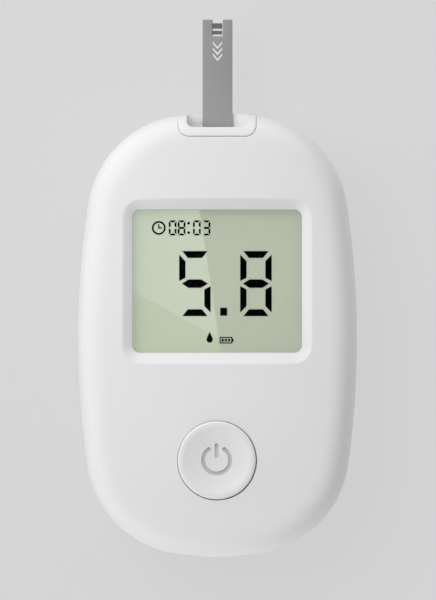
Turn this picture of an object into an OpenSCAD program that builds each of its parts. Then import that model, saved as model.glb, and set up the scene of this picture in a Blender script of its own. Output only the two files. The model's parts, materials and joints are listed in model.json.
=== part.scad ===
// Pocket blood glucose meter, with a test strip in its port.
//
// Frame: the meter lies on its back. The origin is the middle of the flat back,
// +X is to the right as the display is read, +Y runs towards the strip port and
// +Z comes out of the display. All sizes are in millimetres.

/* [Case] */
// Width of the case at its widest line
case_w = 55; // [54.6:0.1:56]
// Length of the case, from the port end to the round end
case_l = 87.4; // [87:0.1:89]
// Thickness of the case over the middle of the front
case_t = 20; // [20:0.1:21]
// Height of the parting line between the two shells
seam_z = 9; // [8.8:0.1:9.3]
// Wall thickness of both shells
wall = 1.7; // [1.6:0.05:1.8]
// Width of the soft edge round the front
front_edge = 6; // [5.5:0.25:6.5]
// Width of the soft edge round the back
rear_edge = 6; // [5.5:0.25:6.5]
// Rise of the front from the soft edge to the middle
crown = 0.7; // [0.4:0.1:1]

/* [Display] */
// Width of the window opening
window_w = 33.3; // [33:0.1:33.6]
// Height of the window opening
window_h = 28.1; // [28:0.1:28.6]
// Distance of the window's middle from the middle of the case
window_y = 10.6; // [10.4:0.1:11]
// Width of the bevel round the window
bevel_w = 2.2; // [1.8:0.1:2.4]
// Depth of the bevel
bevel_depth = 1.5; // [1.3:0.1:1.6]
// Height of a large digit
digit_h = 12.8; // [12:0.1:13]
// Height of a clock digit
clock_h = 2.92; // [2.6:0.02:3.1]

/* [Button] */
// Diameter of the button cap
button_d = 15.3; // [15:0.1:15.6]
// Distance of the button below the middle of the case
button_drop = 24.6; // [24:0.1:25]
// Gap between the button cap and its hole
button_gap = 0.15; // [0.1:0.01:0.2]
// Height of the cap over the front
button_proud = 0.35; // [0.2:0.05:0.5]
// Depth of the finger dish in the cap
dish_depth = 1.05; // [0.5:0.05:1.1]

/* [Port and strip] */
// Width of the port insert
port_w = 15.2; // [14.8:0.1:15.4]
// Distance of the insert's lower edge from the middle of the case
port_low_y = 39.05; // [39:0.05:39.4]
// Distance of the lip that the strip passes under from the middle of the case
lip_y = 40.85; // [40.8:0.05:41.2]
// Width of the well in the insert
well_w = 12; // [11.6:0.1:12.4]
// Width of the test strip
strip_w = 5.9; // [5.6:0.1:6]
// Length of the test strip
strip_l = 31.4; // [31:0.1:32]
// Distance of the strip's inner end from the middle of the case
strip_y = 30.8; // [30.8:0.05:31]

/* [Travel] */
// Travel of the button
button_travel = 0.4; // [0.2:0.05:0.4]
// Travel of the strip ejector
eject_travel = 6; // [5:0.5:6]

/* [Battery bay] */
// Diameter of one cell
cell_d = 10.5; // [10.3:0.1:10.5]
// Length of one cell over its terminals
cell_l = 44.5; // [44:0.1:44.5]

/* [Hidden] */

$fn = 64;
eps = 0.01;

// Case outline: four pairs of tangent arcs. The widest line lies a little
// below the middle of the length.
side_r = 182;
corner_r = 20.6;
port_end_r = 67;
round_end_r = 54.5;
widest_y = -0.7;
half_w = case_w / 2;
port_b = case_l / 2 - widest_y;
round_b = case_l / 2 + widest_y;
front_power = 3;
rear_power = 2.3;
edge_steps = 8;
side_steps = 6;
corner_steps = 10;
core_inset = 19.5;

// Shell joint: a tongue on the rear shell stands in a groove of the front one.
tongue_out = 0.9;
tongue_in = 1.6;
tongue_h = 1.2;
joint_gap = 0.15;
groove = [
    [tongue_out - 0.1, seam_z],
    [tongue_out - 0.1, seam_z + tongue_h + joint_gap],
    [wall, seam_z + tongue_h + joint_gap]
];
tongue = [
    [tongue_in, seam_z],
    [tongue_in, seam_z + tongue_h],
    [tongue_out, seam_z + tongue_h],
    [tongue_out, seam_z]
];

// Battery bay, door and latch
door_t = 1.6;
door_gap = 0.15;
cell_z = 7.05;
cell_x = 5.35;
bay_w = 21.8;
bay_low_y = -35.5;
bay_high_y = 12.9;
bay_wall = 1.4;
bay_top = 12.4;
contact_t = 0.4;
hinge_y = -37.4;
door_w = 25.4;
door_low_y = hinge_y + 0.1;
door_high_y = 14;
door_corner_r = 3;
tongue_x = 9;
tongue_w = 2.8;
latch_w = 7.2;
latch_end_y = 16.2;

// Board and display stack, as heights of undersides
pcb_z = 13.4;
pcb_t = 1;
pcb_top = pcb_z + pcb_t;
pcb_inset = 3.1;
reflector_z = 15.54;
rear_glass_z = 15.74;
glass_t = 0.55;
ink_z = rear_glass_z + glass_t;
ink_t = 0.06;
front_glass_z = ink_z + ink_t;
polariser_z = front_glass_z + glass_t;
film_t = 0.2;
gasket_z = polariser_z + film_t;
lens_z = gasket_z + film_t;
lens_t = 0.8;
adhesive_z = lens_z + lens_t;
adhesive_t = 0.1;
seat_z = adhesive_z + adhesive_t;
lens_w = window_w + 3.1;
lens_h = window_h + 3.1;
window_r = 1.5;

// Screws
case_screw_places = [[-15.5, 31.2], [15.5, 31.2], [-17.2, -28.5], [17.2, -28.5]];
pcb_screw_places = [[-9, 33], [9, 33], [-20.3, -12], [20.3, -12]];
case_screw_r = 0.95;
case_head_r = 1.9;
case_head_seat_z = 3;
case_screw_end_z = 13;
pcb_screw_r = 0.8;
pcb_head_r = 1.7;
pcb_head_h = 1.1;
pcb_screw_end_z = 17.2;

// Button
cap_r = button_d / 2;
button_y = -button_drop;
cap_top = case_t + button_proud;
flange_r = 9.1;
flange_z = 16.3;
flange_t = 0.8;
cap_roof_z = 18.4;
stem_z = 16.1;
switch_w = 6;
switch_h = 1.3;
mark_r = 3.05;
mark_stroke = 0.8;
mark_depth = 0.2;

// Strip and the pieces round it
strip_z = 10.4;
film_base_t = 0.25;
electrode_t = 0.03;
film_cover_t = 0.22;
strip_t = film_base_t + electrode_t + film_cover_t;
strip_end_y = strip_y + strip_l;
cover_y = 37.5;
notch_w = 2.1;
notch_l = 3.3;
channel_w = 6.4;
channel_z = 10.2;
channel_h = 1;
connector_y = 31.2;
connector_l = 5;
connector_w = 13;
connector_z = 8.6;
contact_pitch = 1.4;

// Ejector
slider_z = 2.55;
slider_t = 1.4;
upright_y = 22.9;
upright_front_y = 25;
shutter_end_y = 30.2;
stem_low_y = 19.5;
stem_l = 4;
stem_w = 3.5;
pad_low_y = 17.7;
pad_l = 8;
pad_w = 10.4;
track_depth = 1.25;
spring_stop_y = 35.5;
ejector_spring_z = 6.4;

// Colours
shell_white = [0.93, 0.93, 0.94];
inner_white = [0.86, 0.86, 0.85];
steel = [0.72, 0.72, 0.74];
nickel = [0.78, 0.77, 0.74];
gold = [0.83, 0.68, 0.36];
board_green = [0.10, 0.36, 0.22];
glass_tint = [0.80, 0.86, 0.84, 0.35];
lcd_grey_green = [0.72, 0.77, 0.69];
black = [0.05, 0.05, 0.06];
strip_grey = [0.58, 0.58, 0.58];
film_white = [0.86, 0.86, 0.85];
cell_sleeve = [0.16, 0.30, 0.42];

// ---------------------------------------------------------------- formulas

// Quarter of a superellipse: 0 at t = 0 with an upright start, 1 from t = 1 on.
function soft_edge(t, power) =
    pow(1 - pow(1 - min(max(t, 0), 1), power), 1 / power);

// Rise of the front over a distance d in from the outline.
function crown_rise(d) = crown * (1 - pow(1 - min(d / corner_r, 1), 2));

// Heights of the four skins at a distance d in from the outline.
function front_out(d) =
    seam_z + (case_t - seam_z - crown) * soft_edge(d / front_edge, front_power)
    + crown_rise(d);
function front_in(d) =
    seam_z
    + (case_t - seam_z - crown - wall) * soft_edge((d - wall) / front_edge, front_power)
    + crown_rise(d);
function rear_out(d) = seam_z * (1 - soft_edge(d / rear_edge, rear_power));
function rear_in(d) =
    wall + (seam_z - wall) * (1 - soft_edge((d - wall) / rear_edge, rear_power));

// Distances in from the outline at which a skin is drawn, from the middle out.
crown_stops = [core_inset, 14.5, 11];
function edge_stops(width, start) =
    [for (i = [edge_steps : -1 : 0]) start + width * (1 - cos(90 * i / edge_steps))];

function reversed(list) = [for (i = [len(list) - 1 : -1 : 0]) list[i]];

// Centre of the corner arc that joins the side arc to an end arc.
function corner_centre(end_b, end_r) =
    let (
        side_x = half_w - side_r,
        end_y = end_b - end_r,
        to_side = side_r - corner_r,
        to_end = end_r - corner_r,
        apart = norm([side_x, end_y]),
        along = (to_side * to_side - to_end * to_end + apart * apart) / (2 * apart),
        off = sqrt(to_side * to_side - along * along),
        u = [-side_x, end_y] / apart
    )
    [side_x + u.x * along - u.y * off, u.y * along + u.x * off];

// Angles at which the corner arc meets the side arc and the end arc.
function side_angle(c) = atan2(c.y, c.x - (half_w - side_r));
function end_angle(c, end_b, end_r) = atan2(c.y - (end_b - end_r), c.x);

port_corner = corner_centre(port_b, port_end_r);
round_corner = corner_centre(round_b, round_end_r);

// The outline's arcs, in order: centre, radius, first and last angle, steps.
outline_arcs =
    let (
        low = side_angle(round_corner),
        high = side_angle(port_corner),
        port_turn = end_angle(port_corner, port_b, port_end_r),
        round_turn = end_angle(round_corner, round_b, round_end_r),
        side_x = half_w - side_r
    )
    [
        [[side_x, 0], side_r, -low, high, side_steps],
        [port_corner, corner_r, high, port_turn, corner_steps],
        [[0, port_b - port_end_r], port_end_r, port_turn, 180 - port_turn, side_steps],
        [[-port_corner.x, port_corner.y], corner_r, 180 - port_turn, 180 - high, corner_steps],
        [[-side_x, 0], side_r, 180 - high, 180 + low, side_steps],
        [-round_corner, corner_r, 180 + low, 180 + round_turn, corner_steps],
        [[0, round_end_r - round_b], round_end_r, 180 + round_turn, 360 - round_turn, side_steps],
        [[round_corner.x, -round_corner.y], corner_r, 360 - round_turn, 360 - low, corner_steps]
    ];

// The outline at an inset, as points that run round anticlockwise.
function outline(inset) = [
    for (arc = outline_arcs, i = [0 : arc[4] - 1])
        let (angle = arc[2] + (arc[3] - arc[2]) * i / arc[4])
        arc[0] + [0, widest_y] + (arc[1] - inset) * [cos(angle), sin(angle)]
];

// Skins of the two shells, as [distance in from the outline, height], from the
// middle out to the parting line.
front_skin = concat(
    [for (d = crown_stops) [d, front_out(d)]],
    [for (d = edge_stops(front_edge, 0)) [d, front_out(d)]]
);
front_lining = concat(
    [for (d = crown_stops) [d, front_in(d)]],
    [for (d = edge_stops(front_edge, wall)) if (d > wall) [d, front_in(d)]]
);
rear_skin = concat(
    [[core_inset, 0]],
    [for (d = edge_stops(rear_edge, 0)) [d, rear_out(d)]]
);
rear_lining = concat(
    [[core_inset, wall]],
    [for (d = edge_stops(rear_edge, wall)) [d, rear_in(d)]]
);

// ------------------------------------------------------------ shared shapes

// A closed body made of rings that follow the case outline. Each stop is
// [distance in from the outline, height]; the first and the last are filled in.
module ringed_body(stops) {
    rings = [for (s = stops) [for (p = outline(s.x)) [p.x, p.y, s.y]]];
    n = len(rings[0]);
    last = (len(stops) - 1) * n;
    walls = [
        for (k = [0 : len(stops) - 2], i = [0 : n - 1])
            let (a = k * n + i, b = k * n + (i + 1) % n)
            each [[a, b + n, a + n], [a, b, b + n]]
    ];
    first_face = [for (i = [n - 1 : -1 : 0]) i];
    last_face = [for (i = [0 : n - 1]) last + i];
    polyhedron([for (ring = rings) each ring], concat([first_face], walls, [last_face]));
}

// The whole case as one lump, to cut flush pieces to its skin.
module case_lump() {
    ringed_body(concat(front_skin, reversed([for (s = rear_skin) if (s.x > 0) s])));
}

// A box between two corners.
module block(low, high) {
    translate(low)
        cube(high - low);
}

module rounded_rectangle(w, h, r) {
    square([w - 2 * r, h], center = true);
    square([w, h - 2 * r], center = true);
    for (x = [-1, 1], y = [-1, 1])
        translate([x * (w / 2 - r), y * (h / 2 - r)])
            circle(r, $fn = 48);
}

module rounded_plate(w, h, r, low, high) {
    translate([0, 0, low])
        linear_extrude(high - low)
            rounded_rectangle(w, h, r);
}

module frame_plate(w, h, inner_w, inner_h, r, low, high) {
    translate([0, 0, low])
        linear_extrude(high - low)
            difference() {
                rounded_rectangle(w, h, r);
                rounded_rectangle(inner_w, inner_h, r);
            }
}

module rod(r, low, high) {
    translate([0, 0, low])
        cylinder(r = r, h = high - low);
}

// An opening whose four sides lean out evenly as it rises.
module flared_opening(w, h, r, flare, low, high) {
    x = w / 2 - r;
    y = h / 2 - r;
    side = [[-1, low], [1, low], [1, high], [-1, high]];
    for (i = [-1, 1], j = [-1, 1])
        translate([i * x, j * y, low])
            cylinder(r1 = r, r2 = r + flare, h = high - low);
    rotate([90, 0, 0])
        linear_extrude(2 * y, center = true)
            polygon([for (p = side) [p.x * (x + r + (p.y > low ? flare : 0)), p.y]]);
    rotate([90, 0, 90])
        linear_extrude(2 * x, center = true)
            polygon([for (p = side) [p.x * (y + r + (p.y > low ? flare : 0)), p.y]]);
}

// A coil along +Y from the origin. end_r differs from r on a conical coil.
module coil_spring(r, end_r, wire_r, length, turns) {
    sides = 6;
    rings = turns * 14;
    function at(i, j) =
        let (
            s = i / rings,
            turn = 360 * turns * s,
            reach = r + (end_r - r) * s + wire_r * cos(360 * j / sides)
        )
        [
            reach * cos(turn),
            wire_r + (length - 2 * wire_r) * s + wire_r * sin(360 * j / sides),
            reach * sin(turn)
        ];
    points = [for (i = [0 : rings], j = [0 : sides - 1]) at(i, j)];
    walls = [
        for (i = [0 : rings - 1], j = [0 : sides - 1])
            let (a = i * sides + j, b = i * sides + (j + 1) % sides)
            each [[a, b + sides, b], [a, a + sides, b + sides]]
    ];
    first = [for (j = [1 : sides - 2]) [0, j, j + 1]];
    last_ring = rings * sides;
    last = [for (j = [1 : sides - 2]) [last_ring, last_ring + j + 1, last_ring + j]];
    polyhedron(points, concat(walls, first, last));
}

// -------------------------------------------------------------- case shells

module screw_holes(places, r, low, high) {
    for (p = places)
        translate([p.x, p.y, 0])
            rod(r, low, high);
}

module front_shell() {
    color(shell_white)
        difference() {
            union() {
                ringed_body(concat(front_skin, groove, reversed(front_lining)));
                front_bosses();
                window_seat();
                button_collar();
            }
            translate([0, window_y, 0]) {
                flared_opening(window_w, window_h, window_r, bevel_w, case_t - bevel_depth, case_t + eps);
                rounded_plate(window_w, window_h, window_r, seat_z - 2, case_t);
                // The lens and its adhesive lie in here, below the lining's height
                rounded_plate(lens_w + 0.3, lens_h + 0.3, 0.8, lens_z - 1, seat_z);
            }
            translate([0, button_y, 0])
                rod(cap_r + button_gap, flange_z, case_t + 1);
            port_notch();
            screw_holes(case_screw_places, case_screw_r, seam_z - 1, case_screw_end_z + 0.5);
            screw_holes(pcb_screw_places, pcb_screw_r, pcb_top - 1, pcb_screw_end_z + 0.5);
        }
}

// Pillars that take the screws of the case and of the board.
module front_bosses() {
    roof = case_t - wall + 0.3;
    for (p = case_screw_places)
        translate([p.x, p.y, 0])
            rod(2.6, seam_z, roof);
    for (p = pcb_screw_places)
        translate([p.x, p.y, 0])
            rod(2.1, pcb_top, roof);
}

// The seat that the display lens is stuck to, with a low rim round the lens.
module window_seat() {
    translate([0, window_y, 0]) {
        rounded_plate(lens_w + 4, lens_h + 5, 1.5, seat_z, case_t - wall + 0.3);
        frame_plate(lens_w + 2.2, lens_h + 2.2, lens_w + 0.3, lens_h + 0.3, 0.6, lens_z, seat_z + eps);
    }
}

// The guide round the button, and two ribs that stop the cap from turning.
module button_collar() {
    translate([0, button_y, 0]) {
        rod(cap_r + 1.7, flange_z + flange_t + 0.1, case_t - wall + 0.2);
        for (x = [-1, 1])
            block([x * 9.2 - 0.7, -0.6, flange_z - 0.7], [x * 9.2 + 0.7, 0.6, case_t - wall + 0.2]);
    }
}

// The notch that the port insert fills.
module port_notch() {
    gap = 0.12;
    w = port_w + 2 * gap;
    r = 2.2;
    translate([0, port_low_y - gap + 10, seam_z - 1])
        linear_extrude(case_t)
            rounded_rectangle(w, 20, r);
}

module rear_shell() {
    color(shell_white)
        difference() {
            union() {
                ringed_body(concat(rear_lining, tongue, reversed(rear_skin)));
                bay_walls();
                rear_pillars();
                ejector_track_floor();
                ejector_guides();
            }
            bay_cuts();
            for (p = case_screw_places)
                translate([p.x, p.y, 0]) {
                    rod(case_head_r + 0.25, -1, case_head_seat_z);
                    rod(case_screw_r + 0.15, 1, seam_z + 1);
                }
            ejector_track_cuts();
            // The insert stands on the rim here, so the tongue stops short of it.
            block([-port_w / 2 - 0.4, 34, seam_z], [port_w / 2 + 0.4, 50, seam_z + 3]);
        }
}

module bay_walls() {
    w = bay_w / 2 + bay_wall;
    block([-w, bay_low_y - bay_wall, 1.2], [w, bay_high_y + 1.2, bay_top + 0.8]);
    block([-w - 1.4, bay_low_y - 2.2, 1.2], [w + 1.4, bay_high_y + 2.6, 3.2]);
}

module bay_cuts() {
    tab_w = 3.4;
    // The bay itself
    block([-bay_w / 2, bay_low_y, 1], [bay_w / 2, bay_high_y, bay_top]);
    // The recess that the door closes
    translate([0, (door_low_y + door_high_y) / 2, -1])
        linear_extrude(1 + door_t + 0.1)
            rounded_rectangle(
                door_w + 2 * door_gap,
                door_high_y - door_low_y + 2 * door_gap,
                door_corner_r + door_gap
            );
    // Pockets for the door's two tongues
    for (x = [-1, 1])
        translate([x * tongue_x, 0, 0])
            block(
                [-tongue_w / 2 - 0.2, hinge_y - 1.6, door_t + 0.1],
                [tongue_w / 2 + 0.2, hinge_y + 2.6, 3.2]
            );
    // Pocket for the latch, open at the back for a fingertip
    block([-latch_w / 2 - 0.4, bay_high_y + 1.2, -1], [latch_w / 2 + 0.4, latch_end_y + 0.25, 6.2]);
    // Slots for the contacts' solder tabs
    for (x = [-1, 1])
        translate([x * cell_x, 0, 0])
            block([-tab_w / 2, bay_high_y - contact_t - 0.1, 3], [tab_w / 2, bay_high_y + 0.1, bay_top + 1]);
}

module rear_pillars() {
    for (p = case_screw_places)
        translate([p.x, p.y, 0])
            rod(3.2, 0.9, seam_z);
}

module ejector_track_floor() {
    block([-8.6, 16.8, 0.5], [8.6, 33, track_depth + 1.2]);
}

// Rails that hold the slider down, and the post that its spring pushes on.
module ejector_guides() {
    for (x = [-1, 1]) {
        block([x * 7.6 - 0.6, 17.5, 1.5], [x * 7.6 + 0.6, 32, 5]);
        block([x * 7.2 - 1, 17.5, slider_z + slider_t + 0.15], [x * 7.2 + 1, 32, 5]);
    }
    // The post is a bridge, because the slider's shutter passes under it.
    block([-4.2, spring_stop_y, slider_z + slider_t + 0.2], [4.2, spring_stop_y + 1.2, 8.4]);
    for (x = [-1, 1])
        block([x * 3.5 - 0.7, spring_stop_y, 1], [x * 3.5 + 0.7, spring_stop_y + 1.2, 8.4]);
    translate([0, spring_stop_y + eps, ejector_spring_z])
        rotate([90, 0, 0])
            cylinder(r = 1, h = 2);
}

module ejector_track_cuts() {
    // Track for the thumb pad, sunk into the back
    translate([0, pad_low_y + (pad_l + eject_travel) / 2, -1])
        linear_extrude(1 + track_depth)
            rounded_rectangle(pad_w + 0.6, pad_l + eject_travel + 0.6, 1.2);
    // Slot for the slider's stem
    translate([0, stem_low_y + (stem_l + eject_travel) / 2, 0])
        linear_extrude(4)
            rounded_rectangle(stem_w + 0.3, stem_l + eject_travel + 0.4, 0.5);
}

// ----------------------------------------------------------------- display

module display_lens() {
    color(glass_tint)
        translate([0, window_y, 0])
            rounded_plate(lens_w, lens_h, 0.8, lens_z, lens_z + lens_t);
}

module lens_adhesive() {
    color(black)
        translate([0, window_y, 0])
            frame_plate(lens_w, lens_h, window_w + 0.7, window_h + 0.7, 0.8, adhesive_z, adhesive_z + adhesive_t);
}

module lcd_gasket() {
    color(black)
        translate([0, window_y, 0])
            frame_plate(36, 31, window_w + 0.9, window_h + 0.9, 0.6, gasket_z, gasket_z + film_t);
}

module display_layer(w, h, low, thickness) {
    translate([0, window_y, 0])
        block([-w / 2, -h / 2, low], [w / 2, h / 2, low + thickness]);
}

module lcd_front_polariser() {
    color(glass_tint)
        display_layer(36, 31, polariser_z, film_t);
}

module lcd_front_glass() {
    color(glass_tint)
        display_layer(36.2, 32.2, front_glass_z, glass_t);
}

module lcd_rear_glass() {
    color(glass_tint)
        display_layer(36.2, 29.2, rear_glass_z, glass_t);
}

module lcd_reflector() {
    color(lcd_grey_green)
        display_layer(35, 29.1, reflector_z, film_t);
}

// Seven-segment figures. Sizes scale with the figure's height h: w is the
// width, bar and post are the strokes, gap is the slit between strokes.
// Segments are numbered from the top, clockwise, with the middle last.
segment_sets = [
    [0, 1, 2, 3, 4, 5],
    [1, 2],
    [0, 1, 6, 4, 3],
    [0, 1, 6, 2, 3],
    [5, 6, 1, 2],
    [0, 5, 6, 2, 3],
    [0, 5, 6, 2, 3, 4],
    [0, 1, 2],
    [0, 1, 2, 3, 4, 5, 6],
    [0, 1, 2, 3, 5, 6]
];

module segment(index, w, h, bar, post, middle, gap) {
    slant = post * 0.9;
    level = [
        [-w / 2 + gap * 1.5, 0], [w / 2 - gap * 1.5, 0],
        [w / 2 - gap - post - 0.1 * bar, -bar], [-w / 2 + gap + post + 0.1 * bar, -bar]
    ];
    upright = [
        [w / 2, -gap * 1.7], [w / 2, -h / 2 + gap * 1.2],
        [w / 2 - post, -h / 2 + gap * 1.2 + slant * 0.6], [w / 2 - post, -gap * 1.7 - slant * 1.1]
    ];
    tip = w / 2 - gap * 1.3;
    flat = w / 2 - gap - post - 0.15 * bar;
    if (index == 0)
        translate([0, h / 2])
            polygon(level);
    if (index == 3)
        mirror([0, 1])
            translate([0, h / 2])
                polygon(level);
    if (index == 1 || index == 2)
        mirror([0, index == 2 ? 1 : 0])
            translate([0, h / 2])
                polygon(upright);
    if (index == 4 || index == 5)
        mirror([1, 0])
            mirror([0, index == 4 ? 1 : 0])
                translate([0, h / 2])
                    polygon(upright);
    if (index == 6)
        polygon([
            [-tip, 0], [-flat, middle / 2], [flat, middle / 2],
            [tip, 0], [flat, -middle / 2], [-flat, -middle / 2]
        ]);
}

module large_digit(value, x) {
    w = digit_h * 0.484;
    for (s = segment_sets[value])
        translate([x, large_digit_y])
            segment(s, w, digit_h, digit_h * 0.107, digit_h * 0.097, digit_h * 0.13, digit_h * 0.034);
}

module clock_digit(value, x) {
    w = clock_h * 0.505;
    for (s = segment_sets[value])
        translate([x, clock_y])
            segment(s, w, clock_h, clock_h * 0.13, clock_h * 0.13, clock_h * 0.14, clock_h * 0.035);
}

large_digit_y = 10.12;
large_digit_x = [-4.4, 7.6];
point_size = [1.37, 1.56];
point_centre = [1.26, 4.6];
clock_y = 21.07;
clock_digit_x = [-8.78, -7.02, -4.02, -2.12];
colon_x = -5.63;
colon_r = 0.27;
icon_centre = [-11.5, 21.07];
icon_r = 1.36;
drop_centre = [-1.5, -0.85];
battery_sign_centre = [1.7, -1];

module lcd_segments() {
    color(black)
        translate([0, 0, ink_z])
            linear_extrude(ink_t) {
                large_digit(5, large_digit_x[0]);
                large_digit(8, large_digit_x[1]);
                translate(point_centre)
                    square(point_size, center = true);
                clock_digit(0, clock_digit_x[0]);
                clock_digit(8, clock_digit_x[1]);
                clock_digit(0, clock_digit_x[2]);
                clock_digit(3, clock_digit_x[3]);
                for (y = [-1, 1])
                    translate([colon_x, clock_y + y * 0.92])
                        circle(colon_r, $fn = 24);
                clock_sign();
                drop_sign();
                battery_sign();
            }
}

// A clock face beside the time
module clock_sign() {
    translate(icon_centre) {
        difference() {
            circle(icon_r, $fn = 48);
            circle(icon_r - 0.36, $fn = 48);
        }
        translate([-0.11, -0.1])
            square([0.22, 0.85]);
        translate([-0.11, -0.1])
            square([0.72, 0.22]);
    }
}

// A drop and a battery where the unit is usually shown
module drop_sign() {
    r = 0.62;
    tip = 1.55;
    reach = r * r / tip;
    side = r * sqrt(1 - r * r / (tip * tip));
    translate(drop_centre) {
        circle(r, $fn = 48);
        polygon([[-side, reach], [0, tip], [side, reach]]);
    }
}

module battery_sign() {
    translate(battery_sign_centre) {
        difference() {
            square([2.5, 1.3], center = true);
            square([2.06, 0.86], center = true);
        }
        translate([1.24, -0.3])
            square([0.26, 0.6]);
        for (i = [0 : 2])
            translate([-0.86 + 0.62 * i, -0.26])
                square([0.44, 0.52]);
    }
}

module lcd_holder() {
    color(inner_white)
        translate([0, window_y, 0]) {
            frame_plate(38.6, 34.6, 36.6, 32.6, 0.5, pcb_top, polariser_z + 0.1);
            for (x = [-1, 1]) {
                block([x * 17.95 - 0.35, -12, pcb_top], [x * 17.95 + 0.35, 12, rear_glass_z]);
                translate([x * 18.8, 0, 0])
                    rod(0.45, pcb_z - 0.4, pcb_top + eps);
            }
        }
}

module elastomer_connectors() {
    color([0.35, 0.35, 0.37])
        for (y = [-1, 1])
            translate([0, window_y + y * 15.45, 0])
                block([-16.5, -0.6, pcb_top], [16.5, 0.6, front_glass_z]);
}

// ------------------------------------------------------------------- board

module main_pcb() {
    color(board_green)
        difference() {
            translate([0, 0, pcb_z])
                linear_extrude(pcb_t)
                    polygon(outline(pcb_inset));
            block([-30, port_low_y - 0.5, pcb_z - 1], [30, 60, pcb_top + 1]);
            screw_holes(case_screw_places, 3, pcb_z - 1, pcb_top + 1);
            screw_holes(pcb_screw_places, pcb_screw_r + 0.15, pcb_z - 1, pcb_top + 1);
            for (x = [-1, 1])
                translate([x * 18.8, window_y, 0])
                    rod(0.5, pcb_z - 1, pcb_top + 1);
        }
}

// A pan-head screw with its head down, and a cross in the head.
module screw(r, head_r, head_h, seat, end) {
    difference() {
        union() {
            rod(head_r, seat - head_h, seat);
            rod(r, seat - eps, end);
        }
        for (turn = [0, 90])
            rotate([0, 0, turn])
                block([-head_r * 0.6, -head_r * 0.13, seat - head_h - 1], [head_r * 0.6, head_r * 0.13, seat - head_h * 0.45]);
    }
}

module pcb_screws() {
    color(steel)
        for (p = pcb_screw_places)
            translate([p.x, p.y, 0])
                screw(pcb_screw_r, pcb_head_r, pcb_head_h, pcb_z, pcb_screw_end_z);
}

module case_screws() {
    color(steel)
        for (p = case_screw_places)
            translate([p.x, p.y, 0])
                screw(case_screw_r, case_head_r, 1.4, case_head_seat_z, case_screw_end_z);
}

module chip(w, l, h, pins, pitch) {
    color([0.12, 0.12, 0.13])
        block([-w / 2, -l / 2, pcb_z - h], [w / 2, l / 2, pcb_z - 0.1]);
    color(steel)
        for (x = [-1, 1], i = [0 : pins - 1])
            translate([x * (w / 2 + 0.2), (i - (pins - 1) / 2) * pitch, pcb_z])
                block([-0.45, -0.15, -0.25], [0.45, 0.15, 0]);
}

module processor_chip() {
    translate([18.2, 3, 0])
        chip(6.4, 7, 1.1, 9, 0.65);
}

module analogue_chip() {
    translate([-5.6, 20, 0])
        chip(4, 5, 1.1, 5, 0.9);
}

module memory_chip() {
    translate([5.6, 20, 0])
        chip(4, 5, 1.1, 4, 1.1);
}

module clock_crystal() {
    color(steel)
        translate([18.2, -4.2, 0])
            rounded_plate(3.6, 1.8, 0.5, pcb_z - 0.9, pcb_z);
}

small_places = [
    [-19, 8, 0], [-16.5, 8, 0], [-19, 13, 0], [-16.5, 13, 0], [14.5, 10, 90], [17, 10, 90],
    [14.5, 13.5, 90], [17, 13.5, 90], [-9.5, 26, 0], [-6.5, 26, 0], [6.5, 26, 0], [9.5, 26, 0],
    [-16, -7, 90], [-18, -7, 90], [16, -7.5, 0], [19.5, -7.5, 0]
];

module small_components() {
    color([0.62, 0.55, 0.46])
        for (p = small_places)
            translate([p.x, p.y, 0])
                rotate([0, 0, p.z])
                    block([-0.8, -0.4, pcb_z - 0.5], [0.8, 0.4, pcb_z]);
}

module buzzer() {
    color(black)
        translate([-18.3, 2, 0])
            difference() {
                rod(4.4, pcb_z - 2.2, pcb_z);
                rod(0.9, pcb_z - 3, pcb_z - 1.2);
            }
}

// ------------------------------------------------------------------ button

module button_cap() {
    bowl_r = cap_r - 1;
    sphere_r = (bowl_r * bowl_r + dish_depth * dish_depth) / (2 * dish_depth);
    edge_r = 0.45;
    color(shell_white)
        translate([0, button_y, 0])
            difference() {
                union() {
                    rod(cap_r, flange_z, cap_top - edge_r);
                    rotate_extrude($fn = 128) {
                        square_from([0, cap_top - edge_r - eps], [cap_r - edge_r, cap_top]);
                        translate([cap_r - edge_r, cap_top - edge_r])
                            circle(edge_r, $fn = 32);
                    }
                    rod(flange_r, flange_z, flange_z + flange_t);
                }
                translate([0, 0, cap_top - dish_depth + sphere_r])
                    sphere(sphere_r, $fn = 200);
                difference() {
                    rod(cap_r - 1.3, flange_z - 1, cap_roof_z);
                    rod(2.2, flange_z - 2, cap_roof_z + 1);
                }
                for (x = [-1, 1])
                    block([x * 9.2 - 0.9, -0.8, flange_z - 1], [x * 9.2 + 0.9, 0.8, flange_z + flange_t + 0.05]);
                power_mark();
            }
    color(shell_white)
        translate([0, button_y, 0])
            rod(2.2, stem_z, flange_z + eps);
}

module square_from(low, high) {
    translate(low)
        square(high - low);
}

// A plain on-off sign sunk into the dish: a ring open at the top, and a bar.
module power_mark() {
    floor_z = cap_top - dish_depth - mark_depth;
    opening = 35;
    translate([0, 0, floor_z]) {
        rotate_extrude(angle = 360 - 2 * opening, start = 90 + opening, $fn = 128)
            square_from([mark_r - mark_stroke, 0], [mark_r, 1]);
        translate([-mark_stroke / 2, 0.4, 0])
            cube([mark_stroke, mark_r - 0.1, 1]);
    }
}

module switch_body() {
    color(black)
        translate([0, button_y, 0])
            difference() {
                rounded_plate(switch_w, switch_w, 0.5, pcb_top, pcb_top + switch_h);
                rod(1.75, pcb_top + 0.15, pcb_top + 3);
            }
}

module switch_plunger() {
    color([0.75, 0.75, 0.72])
        translate([0, button_y, 0])
            rod(1.7, pcb_top + 0.2 + button_travel, stem_z);
}

// -------------------------------------------------------- port and connector

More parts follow.
